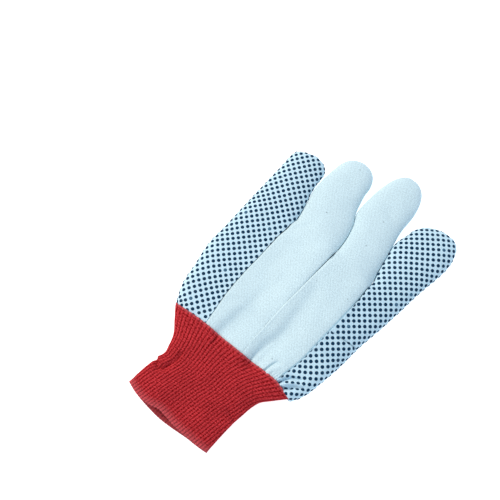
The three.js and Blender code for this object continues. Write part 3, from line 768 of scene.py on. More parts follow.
# The x of the thumb's seam on the back where it starts, and how far it runs
THUMB_SEAM_X, THUMB_SEAM_LENGTH = 41.5, 22.4

# The hand's seams: the y at which each has faded out, over how far it fades, how near
# its line counts as on it, the fall of the plain cloth beside the index finger's, the
# shallower groove of the back seam and the y over which it deepens, and the puckers
SEAM_TOPS = {1: 100, 2: 108, 3: 104}
SEAM_FADE = 6
ON_SEAM = 0.03
BACK_SEAM_SHARE, BACK_SEAM_FROM = 0.6, (40, 90)
PLAIN_FALL, PLAIN_FALL_WIDTH = 0.5, 3
PUCKER_HEIGHT, PUCKER_LENGTH, PUCKER_REACH = 0.09, 3.1, 2.2
PUCKER_DRIFT, PUCKER_DRIFT_LENGTH = 2, 9

# The gathers at the cuff are the sum of two waves, and the shorter one drifts
GATHER_HEIGHT, GATHER_REACH = 0.15, 4.5
GATHER_SHORT, GATHER_DRIFT, GATHER_DRIFT_LENGTH = 1.9, 1.3, 5.3
GATHER_LONG, GATHER_LONG_SHARE, GATHER_LONG_PHASE = 3.7, 0.7, 0.8

# Swells of the free cloth: two lengths, a phase and a height
SWELLS = ((31, 17, 0.4, 0.08), (19, 43, 1.7, 0.06), (13, 23, 2.9, 0.04), (47, 29, 4.1, 0.1))
SWELL_BEND = 1.5

# How far cloth has to face up or down to take the relief of that side, the share of
# the swells below and the height that frees them, and how far the round edges bulge
FACING = (0.05, 0.6)
UNDER_SWELL, UNDER_SWELL_FROM = 0.5, 3
EDGE_BULGE = 0.45
BULGE_FROM = (2, 2.3)


def seam_relief(x, y, line):
    """A seam that lies in a narrow groove between two soft rolls, slightly puckered.

    Where plain cloth meets dotted cloth, only the plain side dips into the groove.
    """
    top = SEAM_TOPS[line]
    beside = x - HAND_LINE[line](y)
    away = np.abs(beside)
    fades = 1 - smoothstep(y, top - SEAM_FADE, top)
    groove, roll = groove_and_roll(HAND_SEAM, away)
    if line == 1:
        groove = np.where(beside < ON_SEAM, 0, groove)
    elif line == 2:
        groove = BACK_SEAM_SHARE * groove * smoothstep(y, *BACK_SEAM_FROM)
    else:
        fall = PLAIN_FALL * hump(away, PLAIN_FALL_WIDTH)
        groove = np.where(beside > ON_SEAM, 0, groove - fall)
    drift = PUCKER_DRIFT * np.sin(y / PUCKER_DRIFT_LENGTH + line)
    pucker = np.sin(2 * np.pi * y / PUCKER_LENGTH + drift)
    pucker = PUCKER_HEIGHT * pucker * hump(away, PUCKER_REACH)
    return (groove + roll + pucker) * fades


def groove_and_roll(seam, away):
    """The two parts of a seam's relief at a distance from its line."""
    groove = -seam.depth * hump(away, seam.width)
    return groove, seam.roll * hump(away - seam.roll_away, seam.roll_width)


def cuff_gathers(x, y):
    """Short gathers where the canvas is drawn in to the cuff, and the dip of that seam."""
    above = np.maximum(0, y - CUFF_SEAM(x))
    waves = np.sin(x / GATHER_SHORT + GATHER_DRIFT * np.sin(x / GATHER_DRIFT_LENGTH))
    waves += GATHER_LONG_SHARE * np.sin(x / GATHER_LONG + GATHER_LONG_PHASE)
    gathers = GATHER_HEIGHT * waves * np.exp(-above / GATHER_REACH)
    return gathers + sum(groove_and_roll(CUFF_DIP, above))


def thumb_seam_relief(x, y):
    """The thumb panel's seam over the index finger's edge of the hand."""
    low, high = THUMB_SEAM_Y["back"][3:]
    seam_y = lerp(low, high, (x - THUMB_SEAM_X) / THUMB_SEAM_LENGTH)
    shape = sum(groove_and_roll(THUMB_SEAM, np.abs(y - seam_y)))
    return shape * smoothstep(x, *THUMB_SEAM_FROM)


def swell(x, y):
    """The slight unevenness of cloth that lies free."""
    total = np.zeros_like(x)
    for i, (length_x, length_y, phase, height) in enumerate(SWELLS):
        wave_x = 2 * np.pi * x / length_x + phase
        bend = SWELL_BEND * np.sin(2 * np.pi * y / length_y + i)
        total += height * np.sin(wave_x + bend)
    return total


def canvas_relief(points, normals, bulge):
    """How far each point moves out along its normal."""
    x, y = points[:, 0], points[:, 1]
    faces_up = smoothstep(normals[:, 2], *FACING)
    faces_down = smoothstep(-normals[:, 2], *FACING)
    seams = sum(seam_relief(x, y, line) for line in SEAM_TOPS)
    relief = seams + thumb_seam_relief(x, y) + cuff_gathers(x, y) + swell(x, y)
    relief -= fold_depth(CREASES, x, y) + fold_depth(PLEATS, x, y)
    clear = np.clip(points[:, 2] / UNDER_SWELL_FROM, 0, 1)
    under = UNDER_SWELL * np.abs(swell(y, x)) * clear
    return relief * faces_up + under * faces_down + EDGE_BULGE * bulge


# Meshes

SHARP_FROM = math.radians(50)


def to_frame(points):
    return (points - PLAN_MIDDLE) * MM


def new_object(name, points, faces):
    mesh = bpy.data.meshes.new(name)
    mesh.from_pydata(points.tolist(), [], faces)
    mesh.validate()
    piece = bpy.data.objects.new(name, mesh)
    bpy.context.scene.collection.objects.link(piece)
    return piece


def set_uv(mesh, corners):
    layer = mesh.uv_layers.new(name="Cloth")
    layer.data.foreach_set("uv", np.asarray(corners, float).ravel())


def select_only(piece):
    bpy.ops.object.select_all(action="DESELECT")
    piece.select_set(True)
    bpy.context.view_layer.objects.active = piece


def finish_piece(piece, material, slot, *nodes):
    piece.data.materials.append(material)
    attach(piece, BODY)
    if nodes:
        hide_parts(*nodes)


def add_wall(piece, thickness):
    """Lays the cloth's thickness inwards from the surface, and rounds the shading."""
    select_only(piece)
    wall = piece.modifiers.new("Wall", "SOLIDIFY")
    wall.thickness = thickness
    wall.offset = -1
    wall.use_even_offset = False
    bpy.ops.object.modifier_apply(modifier=wall.name)
    bpy.ops.object.shade_smooth_by_angle(angle=SHARP_FROM)


def cells_of(canvas, piece):
    """The faces of one piece on points of their own, and the cloth's place at each corner."""
    chosen = np.flatnonzero(canvas.pieces == piece)
    cells = canvas.cells[chosen]
    used, local = np.unique(cells, return_inverse=True)
    local = local.reshape(cells.shape)
    faces, corners = [], []
    for cell, cloth in zip(local.tolist(), canvas.cloth[chosen]):
        count = 3 if cell[2] == cell[3] else 4
        faces.append(cell[:count])
        corners.extend(cloth[:count])
    return used, faces, corners


def canvas_piece(canvas, name, wall):
    """One sewn piece with its wall, none of which lies below the ground."""
    used, faces, corners = cells_of(canvas, name)
    piece = new_object(name + "_cloth", to_frame(canvas.points[used]), faces)
    set_uv(piece.data, corners)
    add_wall(piece, wall)
    for vertex in piece.data.vertices:
        vertex.co.z = max(vertex.co.z, 0)
    return piece


# Grip dots, set out on a slanting square lattice that follows the cloth

# A dome's rings, as shares of its radius and of its height
DOT_RIM = ((1.0, -0.2), (0.9, 0.6), (0.5, 0.95))
DOT_SIDES = 9

# How far beyond a piece's edge a cut dot's middle may lie, the lattice's place, and how
# far outside a cell one of its points still counts as in it
DOT_OVERHANG = 0.8
LATTICE_SHIFT = 0.3
ON_EDGE = 1e-6

# The nearest that two dots may lie, as a share of their spacing, and how pale the worn
# ones and at most the others are
LEAST_SPACING = 0.7
WORN_SHARE, WORN_TONE, USUAL_TONE = 0.03, 0.9, 0.12
RANDOM_SEED = 6


def halved(cells):
    """The four corners of each cell as those of two triangles."""
    return np.concatenate([cells[:, [0, 1, 2]], cells[:, [0, 2, 3]]])


def lattice_hits(corners, normals, cloth, pitch):
    """Centres and normals of the dots whose lattice points lie in cells of the cloth."""
    p, q = np.moveaxis(halved(cloth), 2, 0)
    lattice = np.stack([p + q, q - p], axis=-1) / (math.sqrt(2) * pitch) + LATTICE_SHIFT
    at = np.ceil(lattice.min(axis=1))
    a, b, c = (lattice[:, i] - at for i in range(3))
    area = cross_2d(b - a, c - a)
    area = np.where(np.abs(area) > TINY, area, np.inf)
    weights = np.stack([cross_2d(b, c), cross_2d(c, a), cross_2d(a, b)], axis=1)
    weights /= area[:, None]
    hit = (weights > -ON_EDGE).all(axis=1) & np.isfinite(area)
    weights = weights[hit][..., None]
    centres = (halved(corners)[hit] * weights).sum(axis=1)
    return centres, unit((halved(normals)[hit] * weights).sum(axis=1))


def cross_2d(a, b):
    return a[..., 0] * b[..., 1] - a[..., 1] * b[..., 0]


def thinned(centres, least):
    """Drops each dot that lies nearer than least to one before it in the list."""
    kept = []
    for i, centre in enumerate(centres):
        near = np.linalg.norm(centres[kept] - centre, axis=1) < least if kept else [False]
        if not np.any(near):
            kept.append(i)
    return np.array(kept)


def skirts_of(places, normals, cells, cloth):
    """Narrow cells beyond a piece's open edges, which carry its cloth on for the cut dots."""
    starts, ends = cells.ravel(), np.roll(cells, -1, axis=1).ravel()
    size = len(places)
    open_edge = ~np.isin(starts * size + ends, ends * size + starts) & (starts != ends)
    open_edge &= ~hidden_edge(places[starts])
    edges = np.flatnonzero(open_edge)
    owners = edges // 4
    a, b = places[starts[edges]], places[ends[edges]]
    cloth_a = cloth.reshape(-1, 2)[edges]
    cloth_b = np.roll(cloth, -1, axis=1).reshape(-1, 2)[edges]
    along = unit(b - a)
    inward = places[cells].mean(axis=1)[owners] - a
    inward -= along * (inward * along).sum(axis=1, keepdims=True)
    beyond = DOT_OVERHANG / np.maximum(np.linalg.norm(inward, axis=1, keepdims=True), TINY)
    step = inward * beyond
    cloth_step = (cloth.mean(axis=1)[owners] - (cloth_a + cloth_b) / 2) * beyond
    corners = np.stack([a, b, b - step, a - step], axis=1)
    cloths = np.stack([cloth_a, cloth_b, cloth_b - cloth_step, cloth_a - cloth_step], axis=1)
    facing = np.repeat(normals[starts[edges]][:, None], 4, axis=1)
    return corners, facing, cloths


def hidden_edge(place):
    """Is a place on the part of the thumb's seam that doesn't show?"""
    (left, right), (low, high) = HIDDEN_SEAM
    x, y, z = place.T
    return (x > left) & (x < right) & (y > low) & (y < high) & (z > SIDE_TOP)


def dot_mesh(surface, centres, normals, tones, radius, height):
    """Low round domes of soft plastic that lie on the cloth and end where it ends."""
    across = unit(np.cross(normals, [0.0, 1.0, 0.0]))
    along = np.cross(normals, across)
    turns = 2 * np.pi * np.arange(DOT_SIDES) / DOT_SIDES
    circle = across[:, None] * np.cos(turns)[:, None] + along[:, None] * np.sin(turns)[:, None]
    rings = [centres[:, None] + radius * reach * circle for reach, _ in DOT_RIM]
    flat = np.concatenate([*rings, centres[:, None]], axis=1)
    rises = np.concatenate([np.repeat([rise for _, rise in DOT_RIM], DOT_SIDES), [1]])
    points = laid_on(surface, flat.reshape(-1, 3), height * np.tile(rises, len(centres)))
    return points, dot_faces(len(centres)), np.repeat(tones, len(rises))


def laid_on(surface, points, heights):
    """Moves each point to the nearest place of the cloth, and up from there."""
    laid = np.empty_like(points)
    for i, (point, height) in enumerate(zip(points, heights)):
        place, normal, _, _ = surface.find_nearest(point)
        laid[i] = place + normal * height
    return laid


def dot_faces(count):
    top = len(DOT_RIM) * DOT_SIDES
    one = []
    for low in range(0, top, DOT_SIDES):
        high = low + DOT_SIDES
        for i in range(DOT_SIDES):
            j = (i + 1) % DOT_SIDES
            upper = [top] if high == top else [high + i, high + j]
            one.append([low + j, low + i, *upper])
    starts = range(0, count * (top + 1), top + 1)
    return [[start + corner for corner in face] for start in starts for face in one]


def dots_of(canvas, node, pitch):
    """Places and normals of a piece's dots, thinned out where they would crowd."""
    chosen = canvas.pieces == node
    cells, cloth = canvas.cells[chosen], canvas.cloth[chosen]
    normals = canvas.normals(cells)
    hits = [
        lattice_hits(canvas.points[cells], normals[cells], cloth, pitch),
        lattice_hits(*skirts_of(canvas.points, normals, cells, cloth), pitch),
    ]
    centres, facing = (np.concatenate(part) for part in zip(*hits))
    order = np.argsort(-facing[:, 2], kind="stable")
    order = order[thinned(centres[order], LEAST_SPACING * pitch)]
    return centres[order], facing[order]


def surface_of(canvas, node):
    """A piece's cloth as a surface on which the nearest place can be looked up."""
    cells = canvas.cells[canvas.pieces == node]
    return BVHTree.FromPolygons(canvas.points.tolist(), cells.tolist())


# The knit cuff

CUFF_SIDES = curve(CUFF_SHARE, CUFF_LEFT), curve(CUFF_SHARE, CUFF_RIGHT)
CUFF_ENDS = {"back": curve(*CUFF_END_UPPER), "palm": curve(*CUFF_END_LOWER)}
CUFF_LENGTH = -CUFF_END_UPPER[1][2]

# How far the knit has to face up to crease, how round its ribs are, the share of its
# length over which the canvas's wide valleys run out into it, and its own swells
CREASED_FACING = (-0.3, 0.5)
RIB_ROUNDNESS = 0.8
VALLEY_REACH = 0.12
KNIT_SWELL, KNIT_SWELL_SHIFT = 0.8, 15

# The knit stands out a little at both of its ends, and its ribs push into the seam: how
# far, and how steeply that fades along the cuff
SEAM_FLARE, SEAM_FLARE_FADE = 0.7, 35
OPEN_FLARE, OPEN_FLARE_FADE = 0.4, 25
RIB_PUSH, SEAM_PUSH_FADE = 0.3, 60


def cuff_points(side, u, share):
    width = (u + 1) / 2
    left, right = (line(share) for line in CUFF_SIDES)
    x = lerp(left, right, width)
    seam_x = lerp(CUFF_LEFT[0], CUFF_RIGHT[0], width)
    y = lerp(CUFF_SEAM(seam_x), CUFF_ENDS[side](u), share)
    if side == "back":
        crown = CUFF_CROWN - CUFF_END_DROP * share * width
        dome = np.sqrt(np.maximum(0, 1 - u ** CUFF_DOME_POWER))
        z = SIDE_TOP + (crown - SIDE_TOP) * dome
    else:
        z = CUFF_FOOT + (SIDE_BOTTOM - CUFF_FOOT) * (1 - flat_profile(u))
    return np.stack([x, y, z], axis=-1)


def cuff_section(share):
    """Points at equal steps round the cuff at a share of its length."""
    turn = np.cos(np.pi * np.arange(OUTLINE_STEPS + 1) / OUTLINE_STEPS)
    outline = np.concatenate([
        cuff_points("back", -turn, share), cuff_points("palm", turn, share),
    ])
    outline = np.concatenate([outline, outline[:1]])
    lengths = np.concatenate([[0], np.cumsum(np.linalg.norm(np.diff(outline, axis=0), axis=1))])
    steps = lengths[-1] * np.arange(RIB_COUNT * RIB_SAMPLES) / (RIB_COUNT * RIB_SAMPLES)
    steps = (steps - CUFF_TWIST * share) % lengths[-1]
    return np.stack([np.interp(steps, lengths, outline[:, k]) for k in range(3)], axis=1)


def rib_profile(phase):
    """Height across one rib, from 0 in the groove to 1 on its round ridge."""
    return np.abs(np.sin(np.pi * phase)) ** RIB_ROUNDNESS


def cuff_surface(rib_height):
    """The cuff's outside as rows of points, with the ribs and its folds."""
    shares = np.linspace(0, 1, CUFF_ROWS + 1)
    rows = np.stack([cuff_section(share) for share in shares])
    around = np.roll(rows, -1, axis=1) - np.roll(rows, 1, axis=1)
    outward = np.stack([-around[..., 2], np.zeros(around.shape[:2]), around[..., 0]], axis=-1)
    outward = unit(outward)
    phase = np.arange(rows.shape[1]) / RIB_SAMPLES
    ribs = rib_height * (rib_profile(phase)[None] - 0.5)
    x, y = rows[..., 0], rows[..., 1]
    faces_up = smoothstep(outward[..., 2], *CREASED_FACING)
    along = shares[:, None]
    valleys = hump(along, VALLEY_REACH) * fold_depth(WIDE_FOLDS, x, y)
    folds = -fold_depth(CUFF_CREASES, x, y) - valleys
    folds += KNIT_SWELL * swell(x + KNIT_SWELL_SHIFT, y)
    flare = SEAM_FLARE * np.exp(-along * SEAM_FLARE_FADE)
    flare += OPEN_FLARE * np.exp(-(1 - along) * OPEN_FLARE_FADE)
    rows = rows + outward * (ribs + folds * faces_up + flare)[..., None]
    rows[..., 1] += (CUFF_OVERLAP + RIB_PUSH * ribs) * np.exp(-along * SEAM_PUSH_FADE)
    rows[..., 2] = np.maximum(rows[..., 2], 0)
    return rows, shares


def cuff_cells(shares, count):
    """The faces of the cuff's rows, and the cloth's place at each of their corners."""
    faces, corners = [], []
    for row, (low, high) in enumerate(zip(shares * CUFF_LENGTH, shares[1:] * CUFF_LENGTH)):
        for i in range(count):
            j = (i + 1) % count
            faces.append([row * count + i, (row + 1) * count + i,
                          (row + 1) * count + j, row * count + j])
            left, right = (step * RIB_PITCH / RIB_SAMPLES for step in (i, i + 1))
            corners += [(left, low), (left, high), (right, high), (right, low)]
    return faces, corners


# Materials

# Periods of the weave in millimetres, and the share of the cuff's length from which a painted
# highlight brightens its open end
TWILL_PERIOD = 1.6
THREAD_PERIOD = 0.8
HIGHLIT_END_FROM = 0.91


def linear(hex_colour):
    """An sRGB hex colour as the linear colour that shaders take."""
    channels = [int(hex_colour[i:i + 2], 16) / 255 for i in (1, 3, 5)]
    return [c / 12.92 if c <= 0.04045 else ((c + 0.055) / 1.055) ** 2.4 for c in channels]


def rgba(colour):
    return (*colour, 1)


def add_node(tree, kind, links=None, out=0, **settings):
    """Adds a node, sets its properties and inputs, links sockets into it, and returns one
    of its outputs."""
    node = tree.nodes.new("ShaderNode" + kind)
    for name, value in settings.items():
        if name.startswith("in_"):
            key = name[3:]
            node.inputs[int(key) if key.isdigit() else key].default_value = value
        else:
            setattr(node, name, value)
    for socket, source in (links or {}).items():
        tree.links.new(source, node.inputs[socket])
    return node.outputs[out]


def set_inputs(node, values):
    """Sets inputs of a node by their names."""
    for name, value in values.items():
        node.inputs[name].default_value = value


def new_material(name):
    material = bpy.data.materials.new(name)
    material.use_nodes = True
    tree = material.node_tree
    return material, tree, tree.nodes["Principled BSDF"]


def cloth_place(tree):
    """The cloth's own place from its UV map, and its millimetres across and along."""
    place = add_node(tree, "UVMap", uv_map="Cloth")
    across = add_node(tree, "SeparateXYZ", {0: place})
    return place, across, across.node.outputs[1]


def wave(tree, value, period):
    """A sine from -1 to 1 with a period in the units of its value."""
    turn = add_node(tree, "Math", {0: value}, operation="MULTIPLY", in_1=2 * math.pi / period)
    return add_node(tree, "Math", {0: turn}, operation="SINE")


def canvas_material(name, colour, line_strength):
    """Brushed cotton drill: dull and soft, with slanting twill lines, lint and a few specks."""
    material, tree, shader = new_material(name)
    cloth, across, along = cloth_place(tree)
    # Twill lines 1.1 mm apart, which is twice the real cloth's, so that they show
    slant = add_node(tree, "Math", {0: across, 1: along}, operation="ADD")
    lines = wave(tree, slant, TWILL_PERIOD)
    threads = wave(tree, along, THREAD_PERIOD)
    # Tufts of lint 1 mm wide, and faint patches of 14 mm
    lint = add_node(tree, "TexNoise", {"Vector": cloth}, in_Scale=1.1, in_Detail=1.0,
                    in_Roughness=0.7)
    cloud = add_node(tree, "TexNoise", {"Vector": cloth}, in_Scale=0.07, in_Detail=2.0,
                     in_Roughness=0.5)
    # Specks of seed husk left in the cotton, 1 mm wide and some 13 mm apart
    specks = add_node(tree, "TexVoronoi", {"Vector": cloth}, in_Scale=0.075)
    tone = add_node(tree, "Math", {0: lines, 2: lint}, operation="MULTIPLY_ADD", in_1=0.1)
    shade = add_node(tree, "MapRange", {0: tone}, in_1=0.3, in_2=0.7, in_3=1 - line_strength,
                     in_4=1 + line_strength)
    patch = add_node(tree, "MapRange", {0: cloud}, in_1=0.3, in_2=0.7, in_3=0.98, in_4=1.01)
    speck = add_node(tree, "MapRange", {0: specks}, in_1=0.03, in_2=0.055, in_3=0.6, in_4=1.0)
    both = add_node(tree, "Math", {0: shade, 1: patch}, operation="MULTIPLY")
    every = add_node(tree, "Math", {0: both, 1: speck}, operation="MULTIPLY")
    tinted = add_node(tree, "VectorMath", {1: every}, operation="MULTIPLY", in_0=colour)
    tree.links.new(tinted, shader.inputs["Base Color"])
    relief = add_node(tree, "Math", {0: lines, 1: threads}, operation="ADD")
    fuzz = add_node(tree, "Math", {0: lint, 2: relief}, operation="MULTIPLY_ADD", in_1=5.0)
    bump = add_node(tree, "Bump", {"Height": fuzz}, in_Strength=0.5, in_Distance=0.0001)
    tree.links.new(bump, shader.inputs["Normal"])
    set_inputs(shader, {
        "Roughness": 0.95, "Specular IOR Level": 0.12,
        "Sheen Weight": 0.12, "Sheen Roughness": 0.6,
    })
    return material


def dot_material(colour, worn):
    """Soft PVC printed in drops on the cloth: a dull gloss, a few of them worn pale."""
    material, tree, shader = new_material("navy_pvc_dots")
    tone = add_node(tree, "Attribute", out="Fac", attribute_name="wear")
    place = add_node(tree, "TexCoord", out="Object")
    grain = add_node(tree, "TexNoise", {"Vector": place}, in_Scale=900.0, in_Detail=2.0)
    amount = add_node(tree, "Math", {0: tone, 1: grain}, operation="MULTIPLY")
    mix = add_node(tree, "Mix", {0: amount}, out=2, data_type="RGBA", in_6=rgba(colour),
                   in_7=rgba(worn))
    tree.links.new(mix, shader.inputs["Base Color"])
    set_inputs(shader, {"Roughness": 0.7, "Specular IOR Level": 0.1})
    return material


def knit_material(ridge, groove, pale):
    """Rib knit of brushed acrylic yarn: round downy ridges between narrow grooves. The grooves
    carry painted shade that darkens them stitch by stitch, and a painted highlight lies along
    the seam's rim and towards the open end."""
    material, tree, shader = new_material("red_rib_knit")
    cloth, across, along = cloth_place(tree)
    arch = add_node(tree, "Math", {0: wave(tree, across, 2 * RIB_PITCH)}, operation="ABSOLUTE")
    ridged = add_node(tree, "Math", {0: arch}, operation="POWER", in_1=0.6)
    stitch = wave(tree, along, STITCH_LENGTH)
    # Tufts of down 1 mm wide, a little longer along the ribs, and patches of 17 mm
    stretched = add_node(tree, "VectorMath", {0: cloth}, operation="MULTIPLY",
                         in_1=(0.9, 0.75, 1.0))
    lint = add_node(tree, "TexNoise", {"Vector": stretched}, in_Scale=1.25, in_Detail=1.0,
                    in_Roughness=0.7)
    cloud = add_node(tree, "TexNoise", {"Vector": cloth}, in_Scale=0.06, in_Detail=2.0)
    # Painted shade: the grooves between the ribs, and the gaps between stitches along them,
    # take the darker groove colour, and the ridges take the yarn's own colour
    depth = add_node(tree, "Math", {0: stitch, 2: ridged}, operation="MULTIPLY_ADD", in_1=0.16)
    rough = add_node(tree, "Math", {0: lint, 2: depth}, operation="MULTIPLY_ADD", in_1=3.8)
    shade = add_node(tree, "MapRange", {0: rough}, in_1=1.9, in_2=3.35)
    colour = add_node(tree, "Mix", {0: shade}, out=2, data_type="RGBA", in_6=rgba(groove),
                      in_7=rgba(ridge))
    uneven = add_node(tree, "MapRange", {0: cloud}, in_1=0.3, in_2=0.7, in_3=0.9, in_4=1.1)
    mottled = add_node(tree, "VectorMath", {0: colour, 1: uneven}, operation="MULTIPLY")
    # Painted highlight: the knit turns paler towards its open end and along the first 1.4 mm at
    # the seam's raised rim
    end_highlight = add_node(tree, "MapRange", {0: along}, in_1=CUFF_LENGTH * HIGHLIT_END_FROM,
                        in_2=CUFF_LENGTH, in_3=0.0, in_4=0.25)
    rim = add_node(tree, "MapRange", {0: along}, in_1=0.3, in_2=1.4, in_3=0.25, in_4=0.0)
    blend = add_node(tree, "Math", {0: end_highlight, 1: rim}, operation="ADD")
    highlit = add_node(tree, "Mix", {0: blend, 6: mottled}, out=2, data_type="RGBA",
                     in_7=rgba(pale))
    tree.links.new(highlit, shader.inputs["Base Color"])
    bump = add_node(tree, "Bump", {"Height": rough}, in_Strength=0.4, in_Distance=0.0003)
    tree.links.new(bump, shader.inputs["Normal"])
    set_inputs(shader, {
        "Roughness": 0.95, "Specular IOR Level": 0.03,
        "Sheen Weight": 0.07, "Sheen Roughness": 0.3, "Sheen Tint": rgba(pale),
    })
    return material


def floor_material(colour):
    """A light table's sheet of opal acrylic: matt white and lit a little from below."""
    material, _, shader = new_material("opal_acrylic_sheet")
    set_inputs(shader, {
        "Base Color": rgba(colour), "Roughness": 0.9, "Specular IOR Level": 0.1,
        "Emission Color": rgba(colour), "Emission Strength": TABLE_GLOW,
    })
    return material


# What a user may change

def length_property(name, description, millimetres):
    return FloatProperty(
        name=name, description=description, default=millimetres * MM, unit="LENGTH",
    )


def colour_property(name, description, hex_colour):
    return FloatVectorProperty(
        name=name, description=description, default=linear(hex_colour), size=3,
        subtype="COLOR",
    )


class GloveSizes(bpy.types.PropertyGroup):
    """Sizes of the cloth, the dots and the ribs"""

    canvas_wall: length_property("Canvas", "Thickness of the canvas", 1.2)
    knit_wall: length_property("Knit", "Thickness of the cuff's knit", 1.8)
    seam_gap: length_property("Seam gap", "Gap between two pieces at a seam", 0.12)
    dot_pitch: length_property("Dot spacing", "Distance between neighbouring dots", 4.0)
    dot_width: length_property("Dot width", "Width of one dot", 2.8)
    dot_height: length_property("Dot height", "How far a dot stands above the cloth", 0.3)
    rib_height: length_property("Rib height", "Height of the cuff's ribs", 0.4)


class GloveColours(bpy.types.PropertyGroup):
    """Colours of the cloth, the dots and the yarn"""

    dotted: colour_property("Dotted canvas", "Ground of the dotted canvas", "#c1e1f1")
    plain: colour_property("Plain canvas", "The back strips", "#c7e0e9")
    dots: colour_property("Dots", "The grip dots", "#002d4a")
    worn_dots: colour_property("Worn dots", "Dots that are worn pale", "#5f8aa6")
    knit: colour_property("Knit", "The ridges of the cuff", "#c83c43")
    # Painted shade: the colour that darkens the grooves between the ribs
    knit_groove_shade: colour_property("Knit grooves", "Painted shade in the grooves between the ribs", "#720000")
    # Painted highlight: the paler colour that the knit is mixed towards at its rim and open
    # end, which the sheen also takes as its tint
    knit_highlight: colour_property("Highlit knit", "The knit at the open end", "#d07f86")
    floor: colour_property("Floor", "The studio's floor", "#fafbfc")


DOTTED_NODES = ("palm_panel", "thumb_panel")
SHARED = {}


def shared_canvas(scene):
    """The canvas surface with its relief, made once for the cloth and the dots."""
    if "canvas" not in SHARED:
        canvas = Canvas(scene.glove_sizes.seam_gap / MM)
        normals = canvas.normals(canvas.cells)
        relief = canvas_relief(canvas.points, normals, canvas.bulge)
        canvas.points = canvas.points + normals * relief[:, None]
        SHARED["canvas"] = canvas
    return SHARED["canvas"]


class GLOVE_OT_canvas(bpy.types.Operator):
    """Adds the dotted palm and thumb panels and the two plain back strips"""

    bl_idname = "glove.canvas"
    bl_label = "Canvas"

    def execute(self, context):
        colours = context.scene.glove_colours
        wall = context.scene.glove_sizes.canvas_wall
        dotted = canvas_material("dotted_cotton_drill", colours.dotted[:], line_strength=0.1)
        plain = canvas_material("plain_cotton_drill", colours.plain[:], line_strength=0.16)
        canvas = shared_canvas(context.scene)
        for node in DOTTED_NODES:
            finish_piece(canvas_piece(canvas, node, wall), dotted, "dotted_canvas", node)
        for node in WHITE_PIECES.values():
            finish_piece(canvas_piece(canvas, node, wall), plain, "plain_canvas", node)
        return {"FINISHED"}


class GLOVE_OT_dots(bpy.types.Operator):
    """Adds the grip dots of the palm and thumb panels"""

    bl_idname = "glove.dots"
    bl_label = "Grip dots"

    def execute(self, context):
        sizes = context.scene.glove_sizes
        colours = context.scene.glove_colours
        material = dot_material(colours.dots[:], colours.worn_dots[:])
        canvas = shared_canvas(context.scene)
        for node in DOTTED_NODES:
            centres, facing = dots_of(canvas, node, sizes.dot_pitch / MM)
            worn = np.random.default_rng(RANDOM_SEED).random(len(centres))
            tones = np.where(worn < WORN_SHARE, WORN_TONE, USUAL_TONE * worn)
            points, faces, wear = dot_mesh(
                surface_of(canvas, node), centres, facing, tones, sizes.dot_width / MM / 2,
                sizes.dot_height / MM,
            )
            piece = new_object(node + "_dots", to_frame(points), faces)
            layer = piece.data.attributes.new("wear", "FLOAT", "POINT")
            layer.data.foreach_set("value", wear.astype(np.float32))
            select_only(piece)
            bpy.ops.object.shade_smooth()
            finish_piece(piece, material, "dotted_canvas")
        return {"FINISHED"}


class GLOVE_OT_cuff(bpy.types.Operator):
    """Adds the rib knit cuff"""

    bl_idname = "glove.cuff"
    bl_label = "Knit cuff"

    def execute(self, context):
        sizes = context.scene.glove_sizes
        colours = context.scene.glove_colours
        rows, shares = cuff_surface(sizes.rib_height / MM)
        faces, corners = cuff_cells(shares, rows.shape[1])
        piece = new_object("knit_cuff_ribs", to_frame(rows.reshape(-1, 3)), faces)
        set_uv(piece.data, corners)
        add_wall(piece, sizes.knit_wall)
        material = knit_material(colours.knit[:], colours.knit_groove_shade[:], colours.knit_highlight[:])
        finish_piece(piece, material, "rib_knit", "knit_cuff")
        return {"FINISHED"}


# The stage, with the camera where the photograph was taken from

CAMERA_PLACE = (0.076312, -0.120625, 0.532592)
CAMERA_TURN = (math.radians(18), 0, math.radians(44))
CAMERA_LENS = 53.27
FLOOR_SIZE = 4.0
TABLE_GLOW = 0.7
WORLD_COLOUR = "#ecf4ff"
WORLD_LIGHT = 0.75
Light = namedtuple("Light", "name place size energy colour")
LIGHTS = (
    Light("key", (-1.2, -0.15, 1.0), 0.7, 19.0, "#fff0de"),
    Light("fill", (0.9, 0.5, 1.0), 1.4, 2.0, "#cfe6ff"),
)


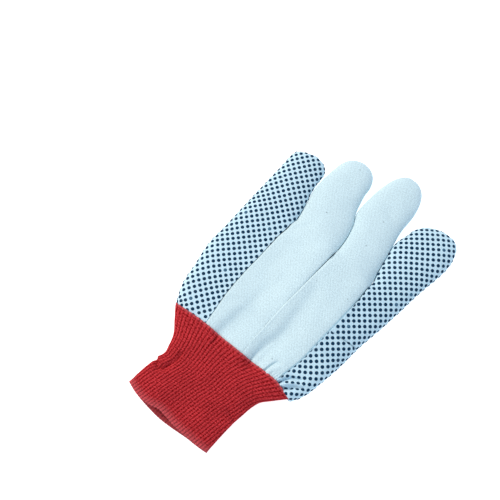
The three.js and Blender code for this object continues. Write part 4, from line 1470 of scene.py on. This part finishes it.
class GLOVE_OT_stage(bpy.types.Operator):
    """Adds the floor, the lights and the camera"""

    bl_idname = "glove.stage"
    bl_label = "Stage"

    def execute(self, context):
        bpy.ops.object.select_all(action="DESELECT")
        bpy.ops.mesh.primitive_plane_add(size=FLOOR_SIZE)
        floor = context.object
        floor.name = "studio_floor"
        floor.data.materials.append(floor_material(context.scene.glove_colours.floor[:]))
        for light in LIGHTS:
            self.add_light(context, light)
        world = bpy.data.worlds.new("soft_studio")
        world.use_nodes = True
        set_inputs(world.node_tree.nodes["Background"], {
            "Color": rgba(linear(WORLD_COLOUR)), "Strength": WORLD_LIGHT,
        })
        context.scene.world = world
        context.scene.view_settings.view_transform = "Standard"
        bpy.ops.object.camera_add(location=CAMERA_PLACE, rotation=CAMERA_TURN)
        camera = context.object
        camera.data.lens = CAMERA_LENS
        context.scene.camera = camera
        return {"FINISHED"}

    def add_light(self, context, light):
        bpy.ops.object.light_add(type="AREA", location=light.place)
        lamp = context.object
        lamp.name = light.name
        lamp.data.size = light.size
        lamp.data.energy = light.energy
        lamp.data.color = linear(light.colour)
        aim = -lamp.location
        lamp.rotation_euler = aim.to_track_quat("-Z", "Y").to_euler()


OPERATORS = (GLOVE_OT_canvas, GLOVE_OT_dots, GLOVE_OT_cuff, GLOVE_OT_stage)


class GLOVE_PT_panel(bpy.types.Panel):
    """Lists the glove's steps, sizes and colours"""

    bl_idname = "GLOVE_PT_panel"
    bl_label = "Work glove"
    bl_space_type = "VIEW_3D"
    bl_region_type = "UI"
    bl_category = "Glove"

    def draw(self, context):
        for operator in OPERATORS:
            self.layout.operator(operator.bl_idname)
        for group in (context.scene.glove_sizes, context.scene.glove_colours):
            for name in group.bl_rna.properties.keys():
                if name not in ("rna_type", "name"):
                    self.layout.prop(group, name)


CLASSES = (GloveSizes, GloveColours, *OPERATORS, GLOVE_PT_panel)


def register():
    for each in CLASSES:
        bpy.utils.register_class(each)
    bpy.types.Scene.glove_sizes = PointerProperty(type=GloveSizes)
    bpy.types.Scene.glove_colours = PointerProperty(type=GloveColours)


def unregister():
    del bpy.types.Scene.glove_colours
    del bpy.types.Scene.glove_sizes
    for each in reversed(CLASSES):
        bpy.utils.unregister_class(each)


def main():
    register()
    bpy.ops.glove.stage()
    bpy.ops.glove.canvas()
    bpy.ops.glove.dots()
    bpy.ops.glove.cuff()


if __name__ == "__main__":
    main()
